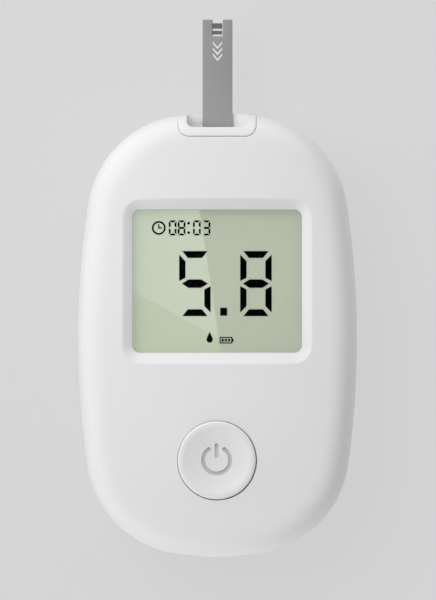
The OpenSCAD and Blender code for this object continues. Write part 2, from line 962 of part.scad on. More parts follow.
module port_insert() {
    guide_top = 12.9;
    color(shell_white)
        difference() {
            union() {
                intersection() {
                    case_lump();
                    translate([0, port_low_y + 10, seam_z])
                        linear_extrude(case_t)
                            rounded_rectangle(port_w, 20, 2.1);
                }
                // Guide towards the connector, and two ears behind the shell
                block([-5.6, 36.8, seam_z + 0.3], [5.6, port_low_y + 1, guide_top]);
                block([-9.3, 38.4, seam_z + 1.5], [9.3, 40.8, seam_z + 2.9]);
            }
            // The well, open to the front and to the port end
            translate([0, lip_y + 10, channel_z - 0.1])
                linear_extrude(20)
                    rounded_rectangle(well_w, 20, 1.3);
            block([-channel_w / 2, 30, channel_z], [channel_w / 2, 60, channel_z + channel_h]);
        }
}

module strip_connector() {
    color([0.90, 0.88, 0.82])
        difference() {
            block([-connector_w / 2, connector_y, connector_z], [connector_w / 2, connector_y + connector_l, pcb_z]);
            block([-channel_w / 2, connector_y - 1, channel_z], [channel_w / 2, connector_y + 10, channel_z + channel_h]);
            for (x = contact_places)
                block([x - 0.3, connector_y + 0.8, channel_z], [x + 0.3, connector_y + 10, pcb_z - 0.5]);
        }
}

contact_places = [for (i = [0 : 3]) (i - 1.5) * contact_pitch];

// Leaf contacts that press on the strip's traces, with a foot on the board
module strip_contacts() {
    t = 0.25;
    touch_z = strip_z + strip_t + 0.05;
    low_y = connector_y + 1;
    back_y = connector_y + connector_l;
    color(gold)
        for (x = contact_places)
            translate([x - 0.2, 0, 0])
                rotate([90, 0, 90])
                    linear_extrude(0.4)
                        polygon([
                            [low_y, touch_z + 0.6], [low_y + 1, touch_z], [low_y + 1.6, touch_z],
                            [back_y + 0.3, pcb_z - 0.9], [back_y + 0.3, pcb_z - t], [back_y + 1.2, pcb_z - t],
                            [back_y + 1.2, pcb_z], [back_y + 0.05, pcb_z], [back_y + 0.05, pcb_z - 0.9 + t / 2],
                            [low_y + 1.5, touch_z + t], [low_y + 1.1, touch_z + t], [low_y, touch_z + 0.6 + t]
                        ]);
}

// ----------------------------------------------------------------- ejector

module ejector_pusher() {
    color(inner_white) {
        difference() {
            union() {
                block([-6.8, 18.2, slider_z], [6.8, upright_front_y, slider_z + slider_t]);
                block([-2.4, upright_y, slider_z + 1], [2.4, upright_front_y, strip_z + strip_t]);
            }
            block([-1.2, 18, slider_z + 0.7], [1.2, 21, slider_z + 3]);
        }
        // A shutter that keeps the slot in the back closed
        block([-2.6, upright_front_y - eps, slider_z], [2.6, shutter_end_y, slider_z + slider_t]);
        // The blade that stands behind the strip's inner end
        block([-2.4, upright_y, strip_z], [2.4, strip_y - 0.02, strip_z + strip_t]);
        // Stem through the back, with the peg that the thumb pad is pressed on
        translate([0, stem_low_y + stem_l / 2, 0]) {
            rounded_plate(stem_w, stem_l, 0.4, track_depth - 0.1, slider_z + eps);
            rod(0.8, 0.75, track_depth);
        }
        translate([0, upright_front_y - eps, ejector_spring_z])
            rotate([-90, 0, 0])
                cylinder(r = 1, h = 2);
    }
}

module ejector_thumb_pad() {
    rib = 0.45;
    color(inner_white)
        difference() {
            union() {
                translate([0, pad_low_y + pad_l / 2, 0])
                    rounded_plate(pad_w, pad_l, 1, 0.15 + rib, track_depth - 0.1);
                for (i = [0 : 4])
                    translate([0, pad_low_y + 1.2 + i * 1.4, 0])
                        block([-pad_w / 2 + 1, -0.3, 0.15], [pad_w / 2 - 1, 0.3, 0.3 + rib]);
            }
            translate([0, stem_low_y + stem_l / 2, 0])
                rod(0.8, 0.75, 3);
        }
}

module ejector_spring() {
    color(steel)
        translate([0, upright_front_y, ejector_spring_z])
            coil_spring(1.6, 1.6, 0.2, spring_stop_y - upright_front_y, 7);
}

// ------------------------------------------------------------- battery bay

module battery_door() {
    color(shell_white) {
        translate([0, (door_low_y + door_high_y) / 2, 0])
            linear_extrude(door_t)
                rounded_rectangle(door_w, door_high_y - door_low_y, door_corner_r);
        // Tongues that hook under the edge of the back
        for (x = [-1, 1])
            translate([x * tongue_x - tongue_w / 2, 0, 0]) {
                block([0, hinge_y - 1.3, door_t + 0.2], [tongue_w, hinge_y + 1, door_t + 1]);
                block([0, hinge_y + 0.2, door_t - 0.1], [tongue_w, hinge_y + 1, door_t + 1]);
            }
        // Sprung latch: a leg up, an arch and a leg down with the fingertip lip
        translate([-latch_w / 2, 0, 0])
            rotate([90, 0, 90])
                linear_extrude(latch_w)
                    polygon([
                        [door_high_y - 0.5, 0], [door_high_y + 0.9, 0],
                        [door_high_y + 0.9, 4.4], [door_high_y + 1.6, 4.4], [door_high_y + 1.6, 0.4],
                        [latch_end_y, 0.4], [latch_end_y, 5.1], [door_high_y + 0.3, 5.1],
                        [door_high_y + 0.3, door_t], [door_high_y - 0.5, door_t]
                    ]);
    }
}

// A cell along +Y, from its flat end to its terminal nub
module cell() {
    nub_h = 0.8;
    rotate([-90, 0, 0]) {
        rod(cell_d / 2 - 0.25, 0, 0.3);
        rod(cell_d / 2, 0.3, cell_l - nub_h - 0.3);
        rod(cell_d / 2 - 0.25, cell_l - nub_h - 0.3, cell_l - nub_h);
        rod(1.9, cell_l - nub_h, cell_l);
    }
}

module cell_left() {
    color(cell_sleeve)
        translate([-cell_x, bay_high_y - contact_t - cell_l, cell_z])
            cell();
}

module cell_right() {
    color(cell_sleeve)
        translate([cell_x, bay_low_y + contact_t + cell_l, cell_z])
            rotate([0, 0, 180])
                cell();
}

module cell_link_contact() {
    color(nickel)
        block([-9.4, bay_low_y, 3.7], [9.4, bay_low_y + contact_t, 10.6]);
}

module end_contact(x) {
    color(nickel)
        translate([x, 0, 0]) {
            block([-4, bay_high_y - contact_t, 3.7], [4, bay_high_y, 10.6]);
            block([-1.5, bay_high_y - contact_t, 10.5], [1.5, bay_high_y, pcb_z]);
        }
}

module cell_plus_contact() {
    end_contact(-cell_x);
}

module cell_minus_contact() {
    end_contact(cell_x);
}

cell_spring_l = bay_high_y - bay_low_y - 2 * contact_t - cell_l;

module cell_link_spring() {
    color(steel)
        translate([-cell_x, bay_low_y + contact_t, cell_z])
            coil_spring(3.2, 2, 0.25, cell_spring_l, 4);
}

module cell_minus_spring() {
    color(steel)
        translate([cell_x, bay_high_y - contact_t, cell_z])
            rotate([0, 0, 180])
                coil_spring(3.2, 2, 0.25, cell_spring_l, 4);
}

// -------------------------------------------------------------- test strip

module strip_base() {
    color(film_white)
        block([-strip_w / 2, strip_y, strip_z], [strip_w / 2, strip_end_y, strip_z + film_base_t]);
}

// Carbon traces at the inner end, and the two bars in the sample window
module strip_electrodes() {
    z = strip_z + film_base_t;
    color([0.28, 0.28, 0.29])
        translate([0, 0, z])
            linear_extrude(electrode_t) {
                for (x = contact_places)
                    translate([x - 0.45, strip_y + 0.4])
                        square([0.9, cover_y - strip_y]);
                for (y = [strip_end_y - 1.9, strip_end_y - 3])
                    translate([-notch_w / 2, y])
                        square([notch_w, strip_end_y - y > 2 ? 0.7 : 1.1]);
            }
}

module strip_cover() {
    z = strip_z + film_base_t + electrode_t;
    color(strip_grey)
        difference() {
            block([-strip_w / 2, cover_y, z], [strip_w / 2, strip_end_y, z + film_cover_t]);
            block([-notch_w / 2, strip_end_y - notch_l, z - 1], [notch_w / 2, strip_end_y + 1, z + 1]);
        }
}

// ------------------------------------------------------------------ picking

front_shell();
rear_shell();
display_lens();
lens_adhesive();
lcd_gasket();
lcd_front_polariser();
lcd_front_glass();
lcd_segments();
lcd_rear_glass();
lcd_reflector();
lcd_holder();
elastomer_connectors();
main_pcb();
pcb_screws();
case_screws();
button_cap();
switch_body();
switch_plunger();
port_insert();
strip_connector();
strip_contacts();
ejector_pusher();
ejector_thumb_pad();
ejector_spring();
battery_door();
cell_left();
cell_right();
cell_link_contact();
cell_link_spring();
cell_plus_contact();
cell_minus_contact();
cell_minus_spring();
buzzer();
processor_chip();
analogue_chip();
memory_chip();
clock_crystal();
small_components();
strip_base();
strip_electrodes();
strip_cover();
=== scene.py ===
"""Looks of a pocket blood glucose meter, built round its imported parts.

The frame is the part's own: the meter lies on its back, +X is to the right as
the display is read, +Y runs to the strip port and +Z comes out of the display.
Sizes in the classes are millimetres, and meshes are written in metres.
"""

import json
import logging
import math
from collections.abc import Callable, Iterable, Sequence
from dataclasses import dataclass, field, replace
from enum import Enum

import bmesh
import bpy
from bpy.types import ID, Material, Mesh, NodeSocket, NodeTree, Object
from mathutils import Matrix, Vector
from mathutils.geometry import delaunay_2d_cdt


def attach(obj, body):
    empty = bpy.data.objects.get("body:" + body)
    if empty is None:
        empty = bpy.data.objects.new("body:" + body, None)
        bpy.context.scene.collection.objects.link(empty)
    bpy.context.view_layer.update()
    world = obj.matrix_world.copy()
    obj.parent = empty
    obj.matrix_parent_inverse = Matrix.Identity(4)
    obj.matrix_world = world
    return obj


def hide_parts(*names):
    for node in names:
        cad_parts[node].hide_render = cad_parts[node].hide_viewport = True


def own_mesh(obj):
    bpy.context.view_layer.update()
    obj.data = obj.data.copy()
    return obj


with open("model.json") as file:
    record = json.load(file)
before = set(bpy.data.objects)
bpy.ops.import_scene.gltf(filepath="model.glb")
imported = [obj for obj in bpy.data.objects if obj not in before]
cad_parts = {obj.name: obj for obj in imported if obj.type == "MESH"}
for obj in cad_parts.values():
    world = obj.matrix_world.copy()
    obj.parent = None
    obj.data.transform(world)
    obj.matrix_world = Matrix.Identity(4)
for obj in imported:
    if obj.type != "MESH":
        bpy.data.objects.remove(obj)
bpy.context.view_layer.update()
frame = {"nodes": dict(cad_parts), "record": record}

log = logging.getLogger("glucose_meter")

MM = 0.001
STEP = 0.01  # plan width of an upright step between two heights, in mm
INSIDE = -STEP / 2  # a point counts as inside an edge from this distance on, in mm
SMOOTH_ANGLE = math.radians(33)
SQUARE = ((-1, -1), (1, -1), (1, 1), (-1, 1))  # corners of a square, anticlockwise

Point = tuple[float, float]
Spot = tuple[float, float, float]
Test = Callable[[float, float], bool]


# ---- scene and node basics


def add_node(
    tree: NodeTree, kind: str, sockets: dict | None = None, out: int | str = 0,
    **settings: object,
) -> NodeSocket | None:
    """Adds one node to a tree.

    Args:
        tree: The node tree that takes the node.
        kind: The node's type name.
        sockets: Input name or number to a value, or to the socket it is linked from.
        out: Name or number of the output that is wanted.
        **settings: Properties of the node itself.

    Returns:
        That output, or None where the node has none.
    """
    node = tree.nodes.new(kind)
    for name, value in settings.items():
        setattr(node, name, value)
    for key, value in (sockets or {}).items():
        if isinstance(value, NodeSocket):
            tree.links.new(value, node.inputs[key])
        else:
            node.inputs[key].default_value = value
    return node.outputs[out] if node.outputs else None


def blank_material(name: str) -> Material:
    """Makes a material with an empty node tree.

    Args:
        name: The material's name.

    Returns:
        The material.
    """
    material = bpy.data.materials.new(name)
    material.use_nodes = True
    material.node_tree.nodes.clear()
    return material


def scene_object(name: str, data: ID) -> Object:
    """Makes an object and puts it in the scene.

    Args:
        name: The object's name.
        data: Its mesh, lamp or camera.

    Returns:
        The object.
    """
    made = bpy.data.objects.new(name, data)
    bpy.context.scene.collection.objects.link(made)
    return made


def mesh_of(name: str, points: Iterable[Spot], faces: Sequence = ()) -> Mesh:
    """Makes a mesh of points that are given in millimetres.

    Args:
        name: The mesh's name.
        points: The points, in mm.
        faces: The faces, as point numbers.

    Returns:
        The mesh, in metres.
    """
    mesh = bpy.data.meshes.new(name)
    mesh.from_pydata([(x * MM, y * MM, z * MM) for x, y, z in points], [], faces)
    return mesh


def linear(hex_colour: str) -> tuple[float, float, float, float]:
    """Turns an sRGB hex colour into linear RGBA.

    Args:
        hex_colour: Six hex digits with a leading #.

    Returns:
        Linear red, green, blue and an alpha of 1.
    """
    parts = [int(hex_colour[i : i + 2], 16) / 255 for i in (1, 3, 5)]
    red, green, blue = (
        c / 12.92 if c <= 0.04045 else ((c + 0.055) / 1.055) ** 2.4 for c in parts
    )
    return (red, green, blue, 1.0)


# ---- finishes


@dataclass(frozen=True)
class Finish:
    """An opaque surface: its colour, its gloss and the grain of how it was made."""

    name: str
    colour: str
    drift_colour: str
    roughness: float = 0.45
    roughness_drift: float = 0.06
    metallic: float = 0.0
    ior: float = 1.5
    grain_mm: float = 0.25
    grain_depth_mm: float = 0.003
    drift_mm: float = 22.0
    stretch: Spot = (1.0, 1.0, 1.0)
    coat: float = 0.0
    # Emission in the surface's own colour: painted light, as if lit, with no lamp behind it
    glow: float = 0.0
    noise_span: Point = (0.3, 0.7)  # a noise texture keeps mostly between these

    def make(self) -> Material:
        """Builds the material, with its grain and drift read from object space.

        Returns:
            The finished material.
        """
        material = blank_material(self.name)
        tree = material.node_tree
        place = add_node(tree, "ShaderNodeTexCoord", out="Object")
        along = add_node(tree, "ShaderNodeMapping", {"Vector": place, "Scale": self.stretch})
        drift, grain = (
            add_node(
                tree, "ShaderNodeTexNoise",
                {"Vector": vector, "Scale": 1 / (size * MM), "Detail": detail},
            )
            for vector, size, detail in ((place, self.drift_mm, 2.0), (along, self.grain_mm, 3.0))
        )
        colour = add_node(
            tree, "ShaderNodeMix",
            {0: drift, 6: linear(self.colour), 7: linear(self.drift_colour)}, 2, data_type="RGBA",
        )
        gloss = add_node(tree, "ShaderNodeMapRange", {
            "Value": grain, "From Min": self.noise_span[0], "From Max": self.noise_span[1],
            "To Min": self.roughness - self.roughness_drift,
            "To Max": self.roughness + self.roughness_drift,
        })
        relief = add_node(
            tree, "ShaderNodeBump", {"Height": grain, "Distance": self.grain_depth_mm * MM}
        )
        surface = add_node(tree, "ShaderNodeBsdfPrincipled", {
            "Base Color": colour, "Roughness": gloss, "Normal": relief,
            "Metallic": self.metallic, "IOR": self.ior, "Coat Weight": self.coat,
            "Emission Color": colour, "Emission Strength": self.glow,
        })
        add_node(tree, "ShaderNodeOutputMaterial", {"Surface": surface})
        return material


@dataclass(frozen=True)
class ClearFinish:
    """A clear sheet: light goes straight through, and both its faces mirror a little.

    The coat takes off most of the mirroring that is seen straight on, and leaves
    what is seen at a slant.
    """

    name: str
    tint: str
    gloss_ahead: float = 0.001
    gloss_aslant: float = 0.48
    roughness: float = 0.03

    def make(self) -> Material:
        """Builds tinted transparency with a share of gloss that grows with the slant.

        Returns:
            The finished material.
        """
        material = blank_material(self.name)
        tree = material.node_tree
        slant = add_node(tree, "ShaderNodeLayerWeight", {"Blend": 0.5}, "Facing")
        curve = add_node(tree, "ShaderNodeMath", {0: slant, 1: 5.0}, operation="POWER")
        share = add_node(
            tree, "ShaderNodeMath",
            {0: curve, 1: self.gloss_aslant, 2: self.gloss_ahead}, operation="MULTIPLY_ADD",
        )
        through = add_node(tree, "ShaderNodeBsdfTransparent", {"Color": linear(self.tint)})
        mirror = add_node(
            tree, "ShaderNodeBsdfAnisotropic",
            {"Color": linear("#FFFFFF"), "Roughness": self.roughness},
        )
        surface = add_node(tree, "ShaderNodeMixShader", {0: share, 1: through, 2: mirror})
        add_node(tree, "ShaderNodeOutputMaterial", {"Surface": surface})
        return material


class Surface(Enum):
    """Every finish of the meter, named as the record's slot where it has one."""

    # Injection-moulded ABS, fine spark-eroded texture: soft satin with no sharp glints
    CASE_PLASTIC = Finish("moulded_white_abs", "#E6E6E6", "#E2E2E3", 0.42, 0.05, grain_mm=0.22)
    # The same ABS from a finer tool: satin, with a soft light in the finger dish
    BUTTON_PLASTIC = Finish("moulded_white_abs_cap", "#E5E5E5", "#E1E1E2", 0.40, 0.05)
    # Soft grey ink in the sunk sign: flat, with no highlight
    MARK = Finish("sign_grey_ink", "#C9C9C9", "#C4C4C4", 0.55, 0.05, grain_mm=0.15)
    # Moulded ABS in pale grey: satin, a shade darker than the case
    SLIDER_PLASTIC = Finish("moulded_pale_grey_abs", "#CFCFD1", "#CACACD", 0.45, 0.06)
    # Cast acrylic with a hard coat that cuts its glare: clear, with a sheen at a slant
    CLEAR_ACRYLIC = ClearFinish("coated_clear_acrylic", "#FDFEFD")
    # Laminated film: clear, and bonded on both faces, so that it mirrors nothing
    POLARISER_FILM = ClearFinish("polariser_film", "#FCFDFB", 0.0, 0.0)
    # Float glass bonded to the film: clear, with no sheen of its own
    DISPLAY_GLASS = ClearFinish("display_glass_clear", "#FCFEFC", 0.0, 0.0)
    # Rear glass laminated to the reflector: a smooth mirror over an even grey-green. Its glow is
    # painted light: it stands in for the light the reflector scatters back, and fills the shade
    # that the window's walls cast near its edges
    GROUND = Finish(
        "laminated_display_ground_painted_glow", "#8B8C81", "#8C8D83", 0.003, 0.001,
        ior=2.0, grain_mm=0.4, grain_depth_mm=0.0, drift_mm=30, glow=1.0,
    )
    # Cast film with a scattering coat: even grey-green
    REFLECTOR_FILM = Finish("reflector_film", "#AFB8A3", "#B1B9A5", 0.3, 0.05)
    # Liquid crystal switched dark: black with no highlight
    SEGMENT_BLACK = Finish("dark_segments", "#020202", "#030303", 0.9, 0.05, ior=1.0)
    # Moulded ABS from an unpolished tool: dull grey-white
    INNER_PLASTIC = Finish("moulded_grey_white_abs", "#DEDEDA", "#D8D8D4", 0.5, 0.06)
    # Die-cut foam tape: dull black that swallows light
    BLACK_FOAM = Finish(
        "black_foam_tape", "#2B2B2B", "#343434", 0.9, 0.05, grain_mm=0.12, grain_depth_mm=0.02
    )
    # Layered moulded silicone: dull grey with fine lines across
    ZEBRA_RUBBER = Finish("zebra_silicone", "#55565A", "#3B3C40", 0.6, 0.05, stretch=(12, 0.2, 0.2))
    # Epoxy-glass board under a cured solder mask: glossy green
    CIRCUIT_BOARD = Finish("solder_mask_board", "#1F6B43", "#1A5C3A", 0.3, 0.06, coat=0.3)
    # Zinc-plated steel, cold-headed: grey metal with a soft glint
    SCREW_STEEL = Finish("zinc_plated_steel", "#C9C9CC", "#B9BABE", 0.32, 0.08, 1.0, grain_mm=0.2)
    # Drawn spring wire: bright lines along the coil
    SPRING_STEEL = Finish("drawn_spring_wire", "#BDBEC2", "#AEB0B5", 0.28, 0.07, 1.0, grain_mm=0.1)
    # Nickel-plated rolled strip: warm grey metal with fine streaks
    CONTACT_NICKEL = Finish(
        "nickel_plated_strip", "#CFC9BE", "#C2BCB0", 0.3, 0.07, 1.0, stretch=(1, 1, 9)
    )
    # Gold-plated stamped bronze: yellow metal with a soft glint
    CONTACT_GOLD = Finish("gold_plated_spring", "#D9B25C", "#CDA34B", 0.27, 0.05, 1.0)
    # Moulded nylon: satin black
    BLACK_PLASTIC = Finish("moulded_black_nylon", "#26262A", "#202024", 0.5, 0.06)
    # Moulded nylon: satin cream
    CONNECTOR_PLASTIC = Finish("cream_connector_nylon", "#E3DFCF", "#DAD5C3", 0.5, 0.06)
    # Transfer-moulded epoxy: dull black with a fine bloom
    CHIP_EPOXY = Finish("moulded_chip_epoxy", "#232325", "#2A2A2C", 0.6, 0.06, grain_mm=0.08)
    # Fired ceramic blocks: dull sand colour
    COMPONENT_CERAMIC = Finish("ceramic_chip_parts", "#B5A184", "#A48F72", 0.45, 0.08, drift_mm=2)
    # Shrunk PVC sleeve over a steel can: deep blue with a smooth sheen
    CELL_SLEEVE = Finish(
        "shrunk_pvc_sleeve", "#3B607E", "#345672", 0.3, 0.05, coat=0.2, grain_mm=0.5
    )
    # Extruded polyester film: smooth white
    STRIP_FILM = Finish(
        "white_polyester_film", "#E6E6E4", "#E2E2E0", 0.32, 0.05, grain_depth_mm=0.001
    )
    # Screen-printed carbon ink: dull dark grey
    STRIP_CARBON = Finish("printed_carbon_ink", "#6C6C6E", "#626264", 0.6, 0.06, grain_mm=0.08)
    # Matte printed cover tape: even mid grey
    STRIP_TAPE = Finish("grey_printed_tape", "#969696", "#929292", 0.42, 0.05, grain_depth_mm=0.001)
    # Opaque screen print: flat white
    ARROW = Finish("white_print", "#F2F2F2", "#EFEFEF", 0.5, 0.04)


class Palette:
    """Makes each finish's material once."""

    def __init__(self) -> None:
        """Starts with no material made."""
        self.made: dict[Surface, Material] = {}

    def get(self, surface: Surface) -> Material:
        """Makes a finish's material when it is first wanted.

        Args:
            surface: The finish.

        Returns:
            The material.
        """
        if surface not in self.made:
            self.made[surface] = surface.value.make()
        return self.made[surface]

    def dress_nodes(self, record: dict, nodes: dict[str, Object]) -> None:
        """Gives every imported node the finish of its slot.

        Args:
            record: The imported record, which names each node's slot.
            nodes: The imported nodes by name.
        """
        for part in record["subparts"]:
            for slot in nodes[part["node"]].material_slots:
                slot.link = "OBJECT"
                slot.material = self.get(Surface[part["material_slot"].upper()])


# ---- plan shapes


def full_turn(count: int) -> list[float]:
    """Returns evenly spread angles of one whole turn, in radians."""
    return [2 * math.pi * i / count for i in range(count)]


def resampled(points: Sequence[Point], spacing: float) -> list[Point]:
    """Splits the long sides of a closed line.

    Args:
        points: Corners of the closed line.
        spacing: Longest side that is left, in mm.

    Returns:
        The same line with points added on its long sides.
    """
    tiny = 1e-6
    result: list[Point] = []
    for (ax, ay), (bx, by) in zip(points, [*points[1:], points[0]]):
        length = math.hypot(bx - ax, by - ay)
        if length >= tiny:
            parts = max(1, math.ceil(length / spacing - tiny))
            result += [
                (ax + (bx - ax) * i / parts, ay + (by - ay) * i / parts) for i in range(parts)
            ]
    return result


@dataclass(frozen=True)
class RoundedBox:
    """A rectangle with round corners, seen in plan."""

    x: float
    y: float
    width: float
    height: float
    radius: float

    def away(self, x: float, y: float) -> float:
        """Measures how far a place lies outside the edge.

        Args:
            x: Across, in mm.
            y: Along, in mm.

        Returns:
            The distance in mm, negative inside.
        """
        out_x = abs(x - self.x) - self.width / 2 + self.radius
        out_y = abs(y - self.y) - self.height / 2 + self.radius
        outside = math.hypot(max(out_x, 0.0), max(out_y, 0.0))
        return outside + min(max(out_x, out_y), 0.0) - self.radius

    def loop(self, offset: float = 0.0, spacing: float = 1.2) -> list[Point]:
        """Follows the edge, moved outwards by an offset, anticlockwise.

        Args:
            offset: How far the edge moves out, in mm.
            spacing: Longest step along the straight sides, in mm.

        Returns:
            Points along the closed edge.
        """
        radius = max(self.radius + offset, 0.02)
        reach_x = self.width / 2 + offset - radius
        reach_y = self.height / 2 + offset - radius
        turns = 10
        points: list[Point] = []
        for corner, (sign_x, sign_y) in enumerate([(1, 1), (-1, 1), (-1, -1), (1, -1)]):
            cx, cy = self.x + sign_x * reach_x, self.y + sign_y * reach_y
            for i in range(turns + 1):
                angle = math.pi / 2 * (corner + i / turns)
                points.append((cx + radius * math.cos(angle), cy + radius * math.sin(angle)))
        return resampled(points, spacing)


@dataclass(frozen=True)
class Disc:
    """A circle, seen in plan."""

    x: float
    y: float
    radius: float

    def away(self, x: float, y: float) -> float:
        """Returns how far a place lies outside the edge, in mm, negative inside."""
        return math.hypot(x - self.x, y - self.y) - self.radius

    def loop(self, offset: float = 0.0, spacing: float = 0.5) -> list[Point]:
        """Follows the circle, moved outwards by an offset, anticlockwise.

        Args:
            offset: How far the edge moves out, in mm.
            spacing: Longest step along it, in mm.

        Returns:
            Points along the closed edge.
        """
        radius = self.radius + offset
        turns = full_turn(max(24, 8 * round(2 * math.pi * self.radius / spacing / 8)))
        return [(self.x + radius * math.cos(a), self.y + radius * math.sin(a)) for a in turns]


@dataclass(frozen=True)
class Stroke:
    """A line of even width with round ends that follows points, seen in plan."""

    path: tuple[Point, ...]
    width: float

    def away(self, x: float, y: float) -> float:
        """Measures how far a place lies outside the edge.

        Args:
            x: Across, in mm.
            y: Along, in mm.

        Returns:
            The distance in mm, negative inside.
        """
        nearest = math.inf
        for (ax, ay), (bx, by) in zip(self.path, self.path[1:]):
            dx, dy = bx - ax, by - ay
            share = ((x - ax) * dx + (y - ay) * dy) / (dx * dx + dy * dy)
            share = min(max(share, 0.0), 1.0)
            nearest = min(nearest, math.hypot(x - ax - share * dx, y - ay - share * dy))
        return nearest - self.width / 2

    def loop(self, offset: float = 0.0, spacing: float = 0.3) -> list[Point]:
        """Follows the edge, moved outwards by an offset, anticlockwise.

        Args:
            offset: How far the edge moves out, in mm.
            spacing: Longest step along it, in mm.

        Returns:
            Points along the closed edge.
        """
        half = self.width / 2 + offset
        right, left = [], []
        for i, (x, y) in enumerate(self.path):
            ax, ay = self.path[max(i - 1, 0)]
            bx, by = self.path[min(i + 1, len(self.path) - 1)]
            length = math.hypot(bx - ax, by - ay)
            nx, ny = (by - ay) / length * half, -(bx - ax) / length * half
            right.append((x + nx, y + ny))
            left.append((x - nx, y - ny))
        return resampled(right + self.cap(-1, half) + left[::-1] + self.cap(0, half), spacing)

    def cap(self, end: int, half: float) -> list[Point]:
        """Follows the round end at the path's first or last point.

        Args:
            end: 0 for the first point of the path, -1 for the last.
            half: Half of the width, in mm.

        Returns:
            The points between the two sides of the line.
        """
        x, y = self.path[end]
        bx, by = self.path[1 if end == 0 else -2]
        start = math.atan2(y - by, x - bx) - math.pi / 2
        steps = 8
        turns = [start + math.pi * i / steps for i in range(1, steps)]
        return [(x + half * math.cos(a), y + half * math.sin(a)) for a in turns]


Shape = RoundedBox | Disc | Stroke


@dataclass(frozen=True)
class Arc:
    """A round length of the case's outline, by its centre and its two end angles."""

    x: float
    y: float
    radius: float
    first: float
    last: float

    def reach(self, u: float, v: float) -> float:
        """Returns how far a place lies in from the arc, in mm."""
        return self.radius - math.hypot(u - self.x, v - self.y)


@dataclass
class CaseOutline:
    """The case seen in plan: a side, corner and end arc in each quarter, all tangent.

    An end is given by its reach from the widest line and the radius of its arc.
    """

    half_width: float = 27.5
    side_radius: float = 182.0
    corner_radius: float = 20.6
    widest_y: float = -0.7
    port_end: Point = (44.4, 67.0)
    round_end: Point = (43.0, 54.5)

    def __post_init__(self) -> None:
        """Works out where the arcs of both ends meet."""
        self.ends = {True: self.port_end, False: self.round_end}
        self.arcs = {port: self.quarter_arcs(*end) for port, end in self.ends.items()}

    def quarter_arcs(self, reach: float, radius: float) -> tuple[Arc, Arc, Arc]:
        """Fits the corner arc between the side arc and an end arc.

        Args:
            reach: Distance of the end from the widest line.
            radius: Radius of the end arc.

        Returns:
            The side, corner and end arc, seen from the middle of the widest line.
        """
        side_x, end_y = self.half_width - self.side_radius, reach - radius
        to_side = self.side_radius - self.corner_radius
        to_end = radius - self.corner_radius
        apart = math.hypot(side_x, end_y)
        along = (to_side**2 - to_end**2 + apart**2) / (2 * apart)
        off = math.sqrt(to_side**2 - along**2)
        ux, uy = -side_x / apart, end_y / apart
        x, y = side_x + ux * along - uy * off, uy * along + ux * off
        side_turn, end_turn = math.atan2(y, x - side_x), math.atan2(y - end_y, x)
        return (
            Arc(side_x, 0.0, self.side_radius, 0.0, side_turn),
            Arc(x, y, self.corner_radius, side_turn, end_turn),
            Arc(0.0, end_y, radius, end_turn, math.pi / 2),
        )

    def inset(self, x: float, y: float) -> float:
        """Measures how far a place lies in from the outline.

        Args:
            x: Across, in mm.
            y: Along, in mm.

        Returns:
            The distance in mm, negative outside.
        """
        above = y - self.widest_y
        side, corner, end = self.arcs[above >= 0]
        u, v = abs(x), abs(above)
        if math.atan2(v, u - side.x) < side.last:
            return side.reach(u, v)
        return (end if math.atan2(v - end.y, u) > end.first else corner).reach(u, v)

    def quarter(self, at_port: bool, inset: float, spacing: float) -> list[Point]:
        """Follows one quarter of the inset outline, from the side to the end's middle.

        Args:
            at_port: True for the half with the strip port.
            inset: How far in from the outline, in mm.
            spacing: Longest step along it, in mm.

        Returns:
            Points along the quarter.
        """
        points: list[Point] = []
        for arc in self.arcs[at_port]:
            steps = math.ceil(arc.radius * (arc.last - arc.first) / spacing)
            radius = arc.radius - inset
            for i in range(steps):
                angle = arc.first + (arc.last - arc.first) * i / steps
                points.append((arc.x + radius * math.cos(angle), arc.y + radius * math.sin(angle)))
        return [*points, (0.0, self.ends[at_port][0] - inset)]

    def loop(self, inset: float = 0.0, spacing: float = 0.8) -> list[Point]:
        """Follows the outline, moved inwards by an inset, anticlockwise.

        Args:
            inset: How far in from the outline, in mm.
            spacing: Longest step along it, in mm.

        Returns:
            Points along the closed edge.
        """
        up, down = (self.quarter(at_port, inset, spacing) for at_port in (True, False))
        points = up + [(-x, y) for x, y in up[-2::-1]]
        points += [(-x, -y) for x, y in down[1:]] + [(x, -y) for x, y in down[-2:0:-1]]
        return [(x, y + self.widest_y) for x, y in points]


OUTLINE = CaseOutline()


def lip(away: float, radius: float) -> float:
    """Says how far a round edge has dropped at a distance in from the edge.

    Args:
        away: Distance in from the edge, in mm.
        radius: Radius of the round edge.

    Returns:
        How far the surface has dropped, in mm.
    """
    if away >= radius:
        return 0.0
    return radius - math.sqrt(max(radius**2 - (radius - max(away, 0.0)) ** 2, 0.0))


def blended_low(a: float, b: float, reach: float) -> float:
    """Returns the lower of two heights, with the crease between them rounded."""
    share = min(max(0.5 + 0.5 * (b - a) / reach, 0.0), 1.0)
    return b + (a - b) * share - reach * share * (1 - share)


# ---- geometry node recipes


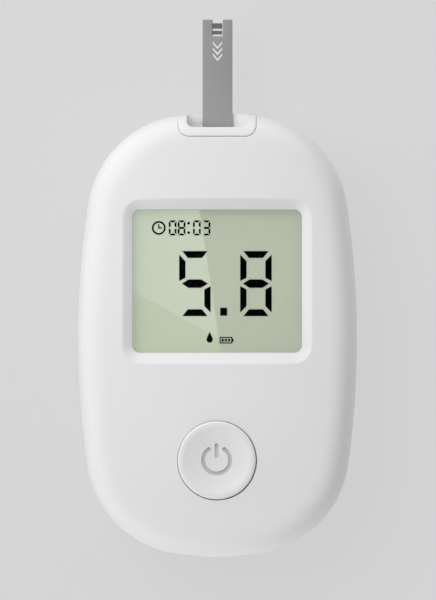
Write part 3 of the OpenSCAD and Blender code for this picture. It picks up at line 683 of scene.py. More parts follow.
class GeometryRecipe:
    """A Geometry Nodes tree with named inputs, whose result becomes a plain mesh."""

    name = "recipe"
    labels: dict[str, str] = {}

    def __init__(self) -> None:
        """Makes the tree's sockets, and then its nodes."""
        self.tree = bpy.data.node_groups.new(self.name, "GeometryNodeTree")
        face = self.tree.interface
        for way in ("OUTPUT", "INPUT"):
            face.new_socket("Geometry", in_out=way, socket_type="NodeSocketGeometry")
        self.keys = {
            label: face.new_socket(label, in_out="INPUT", socket_type=kind).identifier
            for label, kind in {**self.labels, "Finish": "NodeSocketMaterial"}.items()
        }
        self.given = add_node(self.tree, "NodeGroupInput").node.outputs
        real = add_node(self.tree, "GeometryNodeRealizeInstances", {0: self.shape()})
        dressed = add_node(
            self.tree, "GeometryNodeSetMaterial",
            {"Geometry": real, "Material": self.given["Finish"]},
        )
        add_node(self.tree, "NodeGroupOutput", {0: dressed})

    def shape(self) -> NodeSocket:
        """Builds the nodes and returns the socket that holds the geometry."""
        raise NotImplementedError

    def run(self, host: Mesh, **values: object) -> Mesh:
        """Runs the tree on a mesh.

        Args:
            host: The mesh that goes in.
            **values: Inputs by label, with _ for each space.

        Returns:
            The result as a plain mesh.
        """
        carrier = scene_object(self.name, host)
        modifier = carrier.modifiers.new(self.name, "NODES")
        modifier.node_group = self.tree
        for label, value in values.items():
            modifier[self.keys[label.replace("_", " ")]] = value
        ready = carrier.evaluated_get(bpy.context.evaluated_depsgraph_get())
        result = bpy.data.meshes.new_from_object(ready)
        carrier.modifiers.remove(modifier)
        bpy.data.objects.remove(carrier)
        return result


class DomedSkin(GeometryRecipe):
    """Lifts a flat plan to a skin of the case, by its distance in from the outline.

    A soft edge in the form of a superellipse rises from the parting line, and a
    slight crown goes on from there to the middle.
    """

    name = "domed_skin"
    labels = dict.fromkeys(
        (
            "Base height", "Edge start", "Edge width", "Edge rise", "Edge power",
            "Crown rise", "Crown reach",
        ),
        "NodeSocketFloat",
    )
    usual = {"Edge_power": 2.3, "Crown_reach": 20.6, "Edge_start": 0.0, "Crown_rise": 0.0}
    # Each step's name, its sum and the two terms, which are numbers, labels or steps
    steps = (
        ("run in", "SUBTRACT", "inset", "Edge start"),
        ("share", "DIVIDE", "run in", "Edge width"),
        ("share left", "SUBTRACT", 1.0, "share"),
        ("drop", "POWER", "share left", "Edge power"),
        ("drop left", "SUBTRACT", 1.0, "drop"),
        ("root", "DIVIDE", 1.0, "Edge power"),
        ("soft edge", "POWER", "drop left", "root"),
        ("edge", "MULTIPLY", "Edge rise", "soft edge"),
        ("across", "DIVIDE", "inset", "Crown reach"),
        ("across left", "SUBTRACT", 1.0, "across"),
        ("fall", "MULTIPLY", "across left", "across left"),
        ("dome", "SUBTRACT", 1.0, "fall"),
        ("crown", "MULTIPLY", "Crown rise", "dome"),
        ("upper", "ADD", "edge", "crown"),
        ("height", "ADD", "Base height", "upper"),
        ("offset", "MULTIPLY", "height", MM),
    )

    def shape(self) -> NodeSocket:
        """Builds height = base + rise * soft edge + crown, as an offset along Z.

        Returns:
            The socket of the lifted geometry.
        """
        values = {label: self.given[label] for label in self.labels}
        values["inset"] = add_node(
            self.tree, "GeometryNodeInputNamedAttribute", {"Name": "inset"}, data_type="FLOAT"
        )
        for name, operation, *terms in self.steps:
            values[name] = add_node(
                self.tree, "ShaderNodeMath",
                {i: values.get(term, term) for i, term in enumerate(terms)},
                operation=operation, use_clamp=operation == "DIVIDE",
            )
        offset = add_node(self.tree, "ShaderNodeCombineXYZ", {"Z": values["offset"]})
        return add_node(
            self.tree, "GeometryNodeSetPosition",
            {"Geometry": self.given["Geometry"], "Offset": offset},
        )

    def heights(self, plan: Sequence[Point], **values: float) -> list[float]:
        """Finds the skin's height at each point of a plan.

        Args:
            plan: Points of the plan.
            **values: Inputs of the tree by label, where they aren't the usual ones.

        Returns:
            Heights in mm, in the order of the plan.
        """
        mesh = mesh_of("plan", [(x, y, 0.0) for x, y in plan])
        insets = mesh.attributes.new("inset", "FLOAT", "POINT")
        insets.data.foreach_set("value", [max(OUTLINE.inset(x, y), 0.0) for x, y in plan])
        return [v.co.z / MM for v in self.run(mesh, **{**self.usual, **values}).vertices]


class RepeatedPiece(GeometryRecipe):
    """Puts a copy of a piece at every point of the host, each turned a little."""

    name = "repeated_piece"
    labels = {"Piece": "NodeSocketObject", "Turn": "NodeSocketFloat", "Seed": "NodeSocketInt"}
    seed = 7

    def shape(self) -> NodeSocket:
        """Builds the copies, with a seeded random turn about Z.

        Returns:
            The socket of the finished geometry.
        """
        given, tree = self.given, self.tree
        source = add_node(tree, "GeometryNodeObjectInfo", {"Object": given["Piece"]}, "Geometry")
        low = add_node(tree, "ShaderNodeMath", {0: given["Turn"], 1: -1.0}, operation="MULTIPLY")
        turn = add_node(
            tree, "FunctionNodeRandomValue", {2: low, 3: given["Turn"], "Seed": given["Seed"]}, 1,
            data_type="FLOAT",
        )
        rotation = add_node(tree, "ShaderNodeCombineXYZ", {"Z": turn})
        points = add_node(tree, "GeometryNodeMeshToPoints", {"Mesh": given["Geometry"]})
        return add_node(
            tree, "GeometryNodeInstanceOnPoints",
            {"Points": points, "Instance": source, "Rotation": rotation},
        )

    def spread(
        self, piece: Object, places: Iterable[Spot], finish: Material, turn: float = 0.0
    ) -> Mesh:
        """Copies a piece to every place, and removes the piece.

        Args:
            piece: The piece that is copied.
            places: Where the copies go, in mm.
            finish: Their material.
            turn: Widest turn either way, in radians.

        Returns:
            One mesh of all copies, in metres.
        """
        host = mesh_of("places", places)
        mesh = self.run(host, Piece=piece, Turn=turn, Seed=self.seed, Finish=finish)
        bpy.data.objects.remove(piece)
        return mesh


class CoilSpring(GeometryRecipe):
    """Winds a wire into a coil along +Y, which may taper."""

    name = "coil_spring"
    labels = dict.fromkeys(
        ("Turns", "Start radius", "End radius", "Length", "Wire radius"), "NodeSocketFloat"
    )
    points_a_turn = 40
    wire_sides = 12

    def shape(self) -> NodeSocket:
        """Builds the wire's route and sweeps a circle along it.

        Returns:
            The socket of the finished geometry.
        """
        given, tree = self.given, self.tree
        route = add_node(tree, "GeometryNodeCurveSpiral", {
            "Resolution": self.points_a_turn, "Rotations": given["Turns"],
            "Start Radius": given["Start radius"], "End Radius": given["End radius"],
            "Height": given["Length"],
        })
        laid = add_node(
            tree, "GeometryNodeTransform", {"Geometry": route, "Rotation": (-math.pi / 2, 0.0, 0.0)}
        )
        section = add_node(
            tree, "GeometryNodeCurvePrimitiveCircle",
            {"Resolution": self.wire_sides, "Radius": given["Wire radius"]},
        )
        return add_node(
            tree, "GeometryNodeCurveToMesh",
            {"Curve": laid, "Profile Curve": section, "Fill Caps": True},
        )


# ---- mesh drafts


class Plan:
    """A flat region cut into triangles, with lines where its height changes."""

    def __init__(self) -> None:
        """Starts with no points and no lines."""
        self.points: list[Point] = []
        self.sides: list[tuple[int, int]] = []

    def add_loop(self, loop: Sequence[Point]) -> None:
        """Adds a closed line.

        Args:
            loop: Its points, in order.
        """
        first, count = len(self.points), len(loop)
        self.points += loop
        self.sides += [(first + i, first + (i + 1) % count) for i in range(count)]

    def add_shape(self, shape: Shape, offsets: Iterable[float]) -> None:
        """Adds a shape's edge at each offset."""
        for offset in offsets:
            self.add_loop(shape.loop(offset))

    def add_fill(self, spacing: float, box: Sequence[float], keep: Test) -> None:
        """Adds loose points on a triangular grid.

        Args:
            spacing: Distance between neighbours.
            box: Lowest x and y, then highest x and y.
            keep: Says whether a point is wanted.
        """
        low_x, low_y, high_x, high_y = box
        row_step = spacing * math.sqrt(3) / 2
        for row in range(int((high_y - low_y) / row_step) + 1):
            y = low_y + row * row_step
            shift = spacing / 2 * (row % 2)
            for column in range(int((high_x - low_x) / spacing) + 1):
                x = low_x + shift + column * spacing
                if keep(x, y):
                    self.points.append((x, y))

    def cut(self, inside: Test) -> tuple[list[Point], list[list[int]]]:
        """Cuts the region into triangles.

        Args:
            inside: Says whether a triangle's middle belongs to the region.

        Returns:
            The points, and the triangles as point numbers, anticlockwise.
        """
        found = delaunay_2d_cdt([Vector(p) for p in self.points], self.sides, [], 0, 1e-5, False)
        points = [(p.x, p.y) for p in found[0]]
        triangles = [
            list(face) for face in found[2]
            if inside(*(sum(points[i][axis] for i in face) / 3 for axis in (0, 1)))
        ]
        used = sorted({i for face in triangles for i in face})
        renumber = {old: new for new, old in enumerate(used)}
        return [points[i] for i in used], [[renumber[i] for i in face] for face in triangles]


class Draft:
    """Vertices and faces in millimetres, gathered before they become an object."""

    def __init__(self) -> None:
        """Starts empty."""
        self.points: list[Spot] = []
        self.faces: list[list[int]] = []
        self.slots: list[int] = []

    def add(self, points: Sequence, faces: Iterable[Sequence[int]], slot: int = 0) -> None:
        """Adds points, and faces that number them from 0.

        Args:
            points: The points.
            faces: The faces, as point numbers.
            slot: Material slot of the faces.
        """
        first = len(self.points)
        self.points += [tuple(p) for p in points]
        for face in faces:
            self.faces.append([first + i for i in face])
            self.slots.append(slot)

    def add_mesh(self, mesh: Mesh) -> None:
        """Adds a mesh that is in metres."""
        self.add([v.co / MM for v in mesh.vertices], [list(p.vertices) for p in mesh.polygons])

    def add_slab(
        self, plan: Sequence[Point], triangles: Sequence[Sequence[int]],
        low: Sequence[float], high: Sequence[float],
    ) -> None:
        """Adds a closed slab over a plan.

        Args:
            plan: Points of the plan.
            triangles: Its triangles, anticlockwise from above.
            low: Height of the underside at each point.
            high: Height of the top at each point.
        """
        count = len(plan)
        points = [(x, y, z) for (x, y), z in zip(plan, high)]
        points += [(x, y, min(z, top)) for (x, y), z, top in zip(plan, low, high)]
        sides = {(f[i], f[(i + 1) % 3]) for f in triangles for i in range(3)}
        faces = [list(f) for f in triangles]
        faces += [[i + count for i in reversed(f)] for f in triangles]
        faces += [[a + count, b + count, b, a] for a, b in sides if (b, a) not in sides]
        self.add(points, faces)

    def add_stack(self, shape: Shape, stops: Sequence[Point], slot: int = 0) -> None:
        """Adds a closed body made of a shape's edges, one above the other.

        Args:
            shape: The shape in plan.
            stops: Offset and height of each edge, from the bottom up.
            slot: Material slot of the faces.
        """
        # Undivided sides have as many points at any offset, and so has a circle
        spacing = () if isinstance(shape, Disc) else (math.inf,)
        self.add_rings(
            [[(x, y, z) for x, y in shape.loop(offset, *spacing)] for offset, z in stops], slot
        )

    def add_rings(self, loops: Sequence[Sequence], slot: int = 0) -> None:
        """Adds a closed body through rings that turn anticlockwise as it rises.

        Args:
            loops: The rings, from the lowest up.
            slot: Material slot of the faces.
        """
        count = len(loops[0])
        faces = [list(range(count - 1, -1, -1))]
        for low in range(0, (len(loops) - 1) * count, count):
            high = low + count
            for i in range(count):
                j = (i + 1) % count
                faces.append([low + i, low + j, high + j, high + i])
        last = (len(loops) - 1) * count
        faces.append([last + i for i in range(count)])
        self.add([p for ring in loops for p in ring], faces, slot)

    def add_block(self, low: Spot, high: Spot, edge: float = 0.1) -> None:
        """Adds a box between two corners, with its edges taken off.

        Args:
            low: Lowest corner.
            high: Highest corner.
            edge: How much is taken off the edges.
        """
        (x0, y0, z0), (x1, y1, z1) = low, high
        box = RoundedBox((x0 + x1) / 2, (y0 + y1) / 2, x1 - x0, y1 - y0, edge)
        self.add_stack(box, [(-edge, z0), (0, z0 + edge), (0, z1 - edge), (-edge, z1)])

    def turned(self, matrix: Matrix) -> "Draft":
        """Moves every point by a matrix in millimetres and returns the draft."""
        self.points = [tuple(matrix @ Vector(p)) for p in self.points]
        return self

    def mesh(self, name: str) -> Mesh:
        """Makes the draft a mesh.

        Args:
            name: Name of the mesh.

        Returns:
            The mesh, in metres.
        """
        mesh = mesh_of(name, self.points, self.faces)
        mesh.polygons.foreach_set("material_index", self.slots)
        return mesh


def finished_object(name: str, shape: Draft | Mesh, finishes: Sequence[Material] = ()) -> Object:
    """Makes a shape an object of the scene, merged, smooth-shaded and dressed.

    Args:
        name: Name of the object.
        shape: Its draft, or its mesh in metres, with its place in it.
        finishes: Materials in the order of the faces' slots.

    Returns:
        The object, at the origin.
    """
    mesh = shape.mesh(name) if isinstance(shape, Draft) else shape
    mesh.validate()
    body = scene_object(name, mesh)
    merge(mesh)
    slots = [min(face.material_index, max(len(finishes) - 1, 0)) for face in mesh.polygons]
    mesh.materials.clear()
    for material in finishes:
        mesh.materials.append(material)
    mesh.polygons.foreach_set("material_index", slots)
    mesh.shade_smooth()
    mesh.set_sharp_from_angle(angle=SMOOTH_ANGLE)
    return body


def merge(mesh: Mesh, distance: float = 1e-6) -> None:
    """Joins vertices that lie together, and drops the faces that this closes.

    Args:
        mesh: The mesh to mend.
        distance: How near two vertices are to count as one, in metres.
    """
    work = bmesh.new()
    work.from_mesh(mesh)
    bmesh.ops.remove_doubles(work, verts=work.verts, dist=distance)
    bmesh.ops.dissolve_degenerate(work, edges=work.edges, dist=distance / 10)
    work.to_mesh(mesh)
    work.free()


def carve(body: Object, cutter: Object) -> None:
    """Takes a cutter's space out of a body, and removes the cutter.

    Args:
        body: The body that loses the space.
        cutter: The object that has the shape of the space.
    """
    modifier = body.modifiers.new("carve", "BOOLEAN")
    modifier.operation = "DIFFERENCE"
    modifier.solver = "EXACT"
    modifier.object = cutter
    ready = body.evaluated_get(bpy.context.evaluated_depsgraph_get())
    mesh = bpy.data.meshes.new_from_object(ready)
    body.modifiers.remove(modifier)
    body.data = mesh
    mesh.set_sharp_from_angle(angle=SMOOTH_ANGLE)
    bpy.data.objects.remove(cutter)


@dataclass
class Workshop:
    """What every sub-assembly needs: finishes and the three node recipes."""

    palette: Palette = field(default_factory=Palette)
    skin: DomedSkin = field(default_factory=DomedSkin)
    repeat: RepeatedPiece = field(default_factory=RepeatedPiece)
    coil: CoilSpring = field(default_factory=CoilSpring)

    def place(
        self, name: str, shape: Draft | Mesh, surfaces: Sequence[Surface], body: str,
        nodes: Sequence[str] = (), slot: str = "",
    ) -> Object:
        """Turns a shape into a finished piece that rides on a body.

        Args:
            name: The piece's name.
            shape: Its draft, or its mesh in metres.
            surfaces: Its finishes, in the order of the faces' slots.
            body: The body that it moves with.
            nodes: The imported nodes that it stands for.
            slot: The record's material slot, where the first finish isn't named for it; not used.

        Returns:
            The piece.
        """
        piece = finished_object(name, shape, [self.palette.get(s) for s in surfaces])
        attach(piece, body)
        if nodes:
            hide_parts(*nodes)
        log.info("%s: %d faces on %s", name, len(piece.data.polygons), body)
        return piece

    def copies(
        self, name: str, draft: Draft, places: Iterable[Spot], surface: Surface, turn: float = 0.0
    ) -> Mesh:
        """Copies a draft to every place in mm, and returns one mesh of them all."""
        source = finished_object(name, draft)
        return self.repeat.spread(source, places, self.palette.get(surface), turn)


@dataclass
class SubAssembly:
    """A group of pieces that is made in one workshop."""

    shop: Workshop


# ---- case shells


@dataclass
class CaseShells(SubAssembly):
    """Front and rear shell, with the openings for window, button, port and door."""

    seam_z: float = 9.0
    seam_round: float = 0.12
    wall: float = 1.7
    front_edge: float = 6.0
    front_rise: float = 10.3
    front_power: float = 3.0
    rear_edge: float = 6.0
    crown: float = 0.7
    groove: Point = (0.8, 1.7)  # insets of its two sides
    groove_depth: float = 1.35
    tongue: Point = (0.9, 1.6)  # insets of its two sides
    tongue_rise: float = 1.2
    window: RoundedBox = RoundedBox(0, 10.6, 33.3, 28.1, 1.5)
    window_round: float = 0.08
    bevel_width: float = 2.2
    bevel_foot_z: float = 18.5
    bevel_top_z: float = 20.0
    bevel_blend: float = 0.16
    seat_z: float = 18.2
    seat_reach: float = 3.55
    button_hole: Disc = Disc(0, -24.6, 7.8)
    hole_round: float = 0.12
    collar_width: float = 1.55
    collar_z: float = 17.2
    notch: RoundedBox = RoundedBox(0, 48.93, 15.44, 20, 2.2)
    notch_round: float = 0.14
    rear_round: float = 0.2
    door_opening: RoundedBox = RoundedBox(0, -11.65, 25.7, 51.6, 3.15)
    ledge_z: float = 1.7
    ledge_rim: float = 1.2
    ledge_roof_z: float = 3.2
    bay: RoundedBox = RoundedBox(0, -11.3, 21.8, 48.4, 0.5)
    bay_ceiling: float = 12.4
    bay_roof: float = 0.8
    bay_block: RoundedBox = RoundedBox(0, -11.4, 24.6, 51.0, 0.8)
    latch_pocket: RoundedBox = RoundedBox(0, 15.27, 8.0, 2.36, 0.3)
    track: RoundedBox = RoundedBox(0, 24.7, 11.0, 14.6, 1.2)
    track_floor_z: float = 1.25
    track_roof_z: float = 2.45
    track_block: RoundedBox = RoundedBox(0, 24.9, 17.2, 16.2, 0.5)
    slot: RoundedBox = RoundedBox(0, 24.5, 3.8, 10.4, 0.5)
    screw_places: tuple[Point, ...] = ((-15.5, 31.2), (15.5, 31.2), (-17.2, -28.5), (17.2, -28.5))
    recess_radius: float = 2.15
    recess_z: float = 3.0
    pillar_radius: float = 3.2

    def edge_stops(self, width: float, count: int = 18) -> list[float]:
        """Returns insets across a soft edge, close together at the outline."""
        return [width * (1 - math.cos(math.pi / 2 * i / count)) for i in range(count + 1)]

    def outline_plan(self, width: float, joint: Point) -> Plan:
        """Starts a plan with the insets of a soft edge and of the joint at the seam.

        Args:
            width: Width of the soft edge, in mm.
            joint: Insets of the two sides of the tongue or groove.

        Returns:
            The plan.
        """
        low, high = joint
        rim = [self.seam_round * share for share in (0.3, 0.65, 1.0)]
        plan = Plan()
        for inset in [*self.edge_stops(width), *rim, low, low + STEP, high - STEP, high]:
            plan.add_loop(OUTLINE.loop(inset))
        return plan

    def front_skin(self, plan: Sequence[Point], wall: float = 0.0) -> list[float]:
        """Returns the heights of the front before its openings, or of the lining behind a wall."""
        return self.shop.skin.heights(
            plan, Base_height=self.seam_z, Edge_start=wall, Edge_width=self.front_edge,
            Edge_rise=self.front_rise - wall, Edge_power=self.front_power, Crown_rise=self.crown,
        )

    def rear_skin(self, plan: Sequence[Point], wall: float = 0.0) -> list[float]:
        """Returns the heights of the back before its openings, or of the lining behind a wall."""
        return self.shop.skin.heights(
            plan, Base_height=self.seam_z, Edge_start=wall, Edge_width=self.rear_edge,
            Edge_rise=wall - self.seam_z,
        )

    def front_top(self, x: float, y: float, skin: float) -> float:
        """Finds the height of the front with its bevel and rounded edges.

        Args:
            x: Across, in mm.
            y: Along, in mm.
            skin: Height of the plain skin there.

        Returns:
            The height in mm.
        """
        from_window = self.window.away(x, y)
        slope = (self.bevel_top_z - self.bevel_foot_z) / self.bevel_width
        top = skin - lip(self.button_hole.away(x, y), self.hole_round)
        top -= lip(self.notch.away(x, y), self.notch_round)
        top = blended_low(top, self.bevel_foot_z + slope * from_window, self.bevel_blend)
        return max(top - lip(from_window, self.window_round), self.seam_z + self.seam_round)

    def front_underside(self, x: float, y: float, lining: float) -> float:
        """Finds the height of the front shell's inner side.

        Args:
            x: Across, in mm.
            y: Along, in mm.
            lining: Height of the plain lining there.

        Returns:
            The height in mm.
        """
        inset = OUTLINE.inset(x, y)
        if inset < self.groove[0] - INSIDE:
            return self.seam_z + lip(inset, self.seam_round)
        if inset < self.groove[1] + INSIDE:
            return self.seam_z + self.groove_depth
        if self.window.away(x, y) < self.seat_reach + INSIDE:
            return self.seat_z
        if self.button_hole.away(x, y) < self.collar_width + INSIDE:
            return self.collar_z
        return lining

    def build_front(self) -> None:
        """Builds the front shell."""
        plan = self.outline_plan(self.front_edge, self.groove)
        bevel = [0, 0.03, 0.06, 0.1, 0.2, 0.6, 1.1, 1.6]
        brow = [-0.3, -0.2, -0.1, -0.04, 0.02, 0.08, 0.15, 0.25, 0.45, 0.85]
        bevel += [self.bevel_width + s for s in brow]
        plan.add_shape(self.window, [*bevel, self.seat_reach - STEP, self.seat_reach])
        fine = [0, 0.02, 0.05, 0.09, 0.14, 0.2]
        hole = [*fine, 0.27, 0.4, 0.8, self.collar_width - STEP, self.collar_width]
        plan.add_shape(self.button_hole, hole)
        plan.add_shape(self.notch, [*fine, 0.35, 0.7])
        plan.add_fill(
            1.5, (-20, -38, 20, 38),
            lambda x, y: OUTLINE.inset(x, y) > self.front_edge + 0.5
            and self.window.away(x, y) > self.seat_reach + 0.5
            and self.button_hole.away(x, y) > self.collar_width + 0.4
            and self.notch.away(x, y) > 1.2,
        )
        holes = (self.window, self.button_hole, self.notch)
        points, triangles = plan.cut(
            lambda x, y: OUTLINE.inset(x, y) > 0 and all(h.away(x, y) > 0 for h in holes)
        )
        high = [self.front_top(*p, z) for p, z in zip(points, self.front_skin(points))]
        lining = self.front_skin(points, self.wall)
        low = [self.front_underside(*p, z) for p, z in zip(points, lining)]
        draft = Draft()
        draft.add_slab(points, triangles, low, high)
        self.shop.place("front_case_shell", draft, [Surface.CASE_PLASTIC], "case", ["front_shell"])

    def rear_outer(self, x: float, y: float, skin: float) -> float:
        """Finds the height of the outer side of the rear shell, seen from below.

        Args:
            x: Across, in mm.
            y: Along, in mm.
            skin: Height of the plain skin there.

        Returns:
            The height in mm.
        """
        if self.bay.away(x, y) < INSIDE:
            return self.bay_ceiling
        recesses = [Disc(*place, self.recess_radius) for place in self.screw_places]
        sunk = [(recess, self.recess_z) for recess in recesses]
        sunk += [(self.door_opening, self.ledge_z), (self.track, self.track_floor_z)]
        for shape, height in sunk:
            if shape.away(x, y) < INSIDE:
                return height
        for shape in (*recesses, self.door_opening, self.latch_pocket, self.track):
            skin += lip(shape.away(x, y), self.rear_round)
        return skin

    def rear_inner(self, x: float, y: float, lining: float) -> float:
        """Finds the height of the inner side of the rear shell.

        Args:
            x: Across, in mm.
            y: Along, in mm.
            lining: Height of the plain lining there.

        Returns:
            The height in mm.
        """
        inset = OUTLINE.inset(x, y)
        if inset < self.tongue[0] - INSIDE:
            return self.seam_z - lip(inset, self.seam_round)
        if inset < self.tongue[1] + INSIDE:
            return self.seam_z + self.tongue_rise
        if self.bay_block.away(x, y) < INSIDE:
            return self.bay_ceiling + self.bay_roof
        if any(Disc(*p, self.pillar_radius).away(x, y) < INSIDE for p in self.screw_places):
            return self.seam_z
        if self.track_block.away(x, y) < INSIDE:
            return max(lining, self.track_roof_z)
        if self.door_opening.away(x, y) < self.ledge_rim + INSIDE:
            return max(lining, self.ledge_roof_z)
        return lining

    def build_rear(self) -> None:
        """Builds the rear shell with its battery bay, slider track and screw recesses."""
        plan = self.outline_plan(self.rear_edge, self.tongue)
        edge = [-STEP, 0, 0.03, 0.08, 0.14, 0.2, 0.5]
        plan.add_shape(self.door_opening, [*edge, self.ledge_rim - STEP, self.ledge_rim])
        plan.add_shape(self.track, edge)
        plan.add_shape(self.latch_pocket, edge[1:])
        plan.add_shape(self.slot, [0])
        for shape in (self.bay, self.bay_block, self.track_block):
            plan.add_shape(shape, [-STEP, 0])
        for place in self.screw_places:
            plan.add_shape(Disc(*place, self.recess_radius), edge)
            plan.add_shape(Disc(*place, self.pillar_radius), [-STEP, 0])
        plan.add_fill(
            2.5, (-22, -38, 22, 38), lambda x, y: OUTLINE.inset(x, y) > self.rear_edge + 1
        )
        points, triangles = plan.cut(
            lambda x, y: OUTLINE.inset(x, y) > 0
            and self.slot.away(x, y) > 0
            and (self.latch_pocket.away(x, y) > 0 or self.door_opening.away(x, y) < 0)
        )
        low = [self.rear_outer(*p, z) for p, z in zip(points, self.rear_skin(points))]
        high = [self.rear_inner(*p, z) for p, z in zip(points, self.rear_skin(points, self.wall))]
        draft = Draft()
        draft.add_slab(points, triangles, low, high)
        self.shop.place("rear_case_shell", draft, [Surface.CASE_PLASTIC], "case", ["rear_shell"])

    def build(self) -> None:
        """Builds both shells."""
        self.build_front()
        self.build_rear()


# ---- port insert


@dataclass
class StripPort(SubAssembly):
    """The U-shaped insert round the strip port, flush with the front."""

    shell: CaseShells
    insert: RoundedBox = RoundedBox(-0.03, 48.97, 15.36, 20, 2.16)
    well: RoundedBox = RoundedBox(0, 50.85, 12.0, 20, 1.3)
    insert_round: float = 0.4
    well_round: float = 0.3
    floor_z: float = 10.1
    channel: tuple[Spot, Spot] = ((-3.2, 38, 10.2), (3.2, 41.4, 11.2))
    stops_reached: int = 15  # stops of the shell's soft edge that cross the insert

    def top(self, x: float, y: float, skin: float) -> float:
        """Finds the height of the insert, with its well and its rounded edges.

        Args:
            x: Across, in mm.
            y: Along, in mm.
            skin: Height of the plain skin there.

        Returns:
            The height in mm.
        """
        from_well = self.well.away(x, y)
        if from_well < INSIDE:
            return self.floor_z
        top = skin - lip(-self.insert.away(x, y), self.insert_round)
        top -= lip(from_well, self.well_round)
        return max(top, self.shell.seam_z + self.shell.seam_round)

    def build(self) -> None:
        """Builds the insert, and cuts the slot that the strip goes through."""
        plan, shell = Plan(), self.shell
        for inset in shell.edge_stops(shell.front_edge)[: self.stops_reached]:
            plan.add_loop(OUTLINE.loop(inset, spacing=0.4))
        plan.add_shape(self.insert, [0, -0.02, -0.05, -0.1, -0.16, -0.23, -0.31, -0.4, -0.5, -0.75])
        plan.add_shape(self.well, [-STEP, 0, 0.03, 0.08, 0.15, 0.22, 0.31, 0.6, 1.0])
        points, triangles = plan.cut(
            lambda x, y: OUTLINE.inset(x, y) > 0 and self.insert.away(x, y) < 0
        )
        high = [self.top(*p, z) for p, z in zip(points, shell.front_skin(points))]
        low = [shell.seam_z + lip(OUTLINE.inset(*p), shell.seam_round) for p in points]
        draft = Draft()
        draft.add_slab(points, triangles, low, high)
        piece = self.shop.place(
            "port_insert_trim", draft, [Surface.CASE_PLASTIC], "case", ["port_insert"]
        )
        slot = Draft()
        slot.add_block(*self.channel, edge=0.05)
        carve(piece, finished_object("slot", slot))


# ---- button


@dataclass
class RoundButton(SubAssembly):
    """The round cap with its finger dish and a sunk on-off sign, and its plunger."""

    x: float = -0.065
    y: float = -24.535
    radius: float = 7.68
    top_z: float = 20.35
    edge: float = 0.5
    dish_radius: float = 6.65
    dish_depth: float = 1.05
    rim_blend: float = 0.08
    flange_radius: float = 9.1
    flange_z: Point = (16.3, 17.1)
    roof_z: float = 18.4
    hollow_radius: float = 6.35
    stem_radius: float = 2.2
    stem_z: float = 16.1
    mark_floor: float = 19.1
    mark_radius: float = 2.65
    mark_stroke: float = 0.8
    mark_opening: float = 35.0
    mark_bar: Point = (0.4, 0.3)  # from the middle to its foot, and from the ring to its top
    mark_edge: float = 0.04
    mark_wall: float = 0.12

    def __post_init__(self) -> None:
        """Draws the sign's open ring and its bar."""
        steps = 48
        first = math.radians(90 + self.mark_opening)
        sweep = math.radians(360 - 2 * self.mark_opening)
        turns = [first + sweep * i / steps for i in range(steps + 1)]
        reach = self.mark_radius
        ring = tuple((self.x + reach * math.cos(a), self.y + reach * math.sin(a)) for a in turns)
        low, high = self.mark_bar
        bar = ((self.x, self.y + low + self.mark_stroke / 2), (self.x, self.y + reach + high))
        self.marks = [Stroke(path, self.mark_stroke) for path in (ring, bar)]

    def disc(self, radius: float) -> Disc:
        """Returns a circle round the button's middle."""
        return Disc(self.x, self.y, radius)

    def from_mark(self, x: float, y: float) -> float:
        """Returns how far a place lies outside the sign, in mm, negative inside."""
        return min(stroke.away(x, y) for stroke in self.marks)

    def top(self, x: float, y: float) -> float:
        """Finds the height of the cap's upper side.

        Args:
            x: Across, in mm.
            y: Along, in mm.

        Returns:
            The height in mm.
        """
        radius = math.hypot(x - self.x, y - self.y)
        if radius > self.radius - INSIDE:
            return self.flange_z[1]
        ball = (self.dish_radius**2 + self.dish_depth**2) / (2 * self.dish_depth)
        bowl = self.top_z - self.dish_depth + ball - math.sqrt(ball**2 - radius**2)
        rim = self.top_z - lip(self.radius - radius, self.edge)
        face = blended_low(rim, bowl, self.rim_blend)
        depth = self.from_mark(x, y)
        if depth >= self.mark_edge:
            return face
        wall = min(max((self.mark_edge - depth) / self.mark_wall, 0.0), 1.0)
        return face + (min(self.mark_floor, face) - face) * wall * wall * (3 - 2 * wall)

    def underside(self, x: float, y: float) -> float:
        """Returns the height of the cap's underside, in mm."""
        radius = math.hypot(x - self.x, y - self.y)
        return self.roof_z if radius < self.hollow_radius + INSIDE else self.flange_z[0]

    def build(self) -> None:
        """Builds the cap with its flange and its stem."""
        plan = Plan()
        rim = [0.02, 0.06, 0.12, 0.2, 0.3, 0.4, 0.5, 0.65, 0.85, 1.0, 1.08, 1.16, 1.24, 1.34]
        plan.add_shape(self.disc(self.radius), [STEP, 0, *(-inset for inset in rim)])
        plan.add_shape(self.disc(self.hollow_radius), [0, -STEP, -0.5, -1.3, -2.1])
        flange = self.disc(self.flange_radius)
        plan.add_shape(flange, [0])
        for stroke in self.marks:
            plan.add_shape(stroke, [self.mark_edge, 0.02, 0, -0.03, -0.06, -0.09, -0.2])
        plan.add_fill(
            0.5, (-7, self.y - 7, 7, self.y + 7),
            lambda x, y: math.hypot(x - self.x, y - self.y) < 4.9 and self.from_mark(x, y) > 0.2,
        )
        points, triangles = plan.cut(lambda x, y: flange.away(x, y) < 0)
        low, high = [self.underside(*p) for p in points], [self.top(*p) for p in points]
        draft = Draft()
        draft.add_slab(points, triangles, low, high)
        for i, face in enumerate(draft.faces):
            corners = [draft.points[n] for n in face]
            x, y, z = (sum(c[axis] for c in corners) / len(corners) for axis in range(3))
            draft.slots[i] = int(self.from_mark(x, y) < -0.05 and z > self.roof_z + 0.5)
        draft.add_stack(
            self.disc(self.stem_radius),
            [(-0.2, self.stem_z), (0, self.stem_z + 0.2), (0, self.roof_z + 0.2)],
        )
        finishes = [Surface.BUTTON_PLASTIC, Surface.MARK]
        self.shop.place("round_button_cap", draft, finishes, "button", ["button_cap"])


# ---- display


class Part(Enum):
    """The strokes of a seven-segment figure, by the letters that are usual for them."""

    TOP = "a"
    HIGH_RIGHT = "b"
    LOW_RIGHT = "c"
    BOTTOM = "d"
    LOW_LEFT = "e"
    HIGH_LEFT = "f"
    MIDDLE = "g"


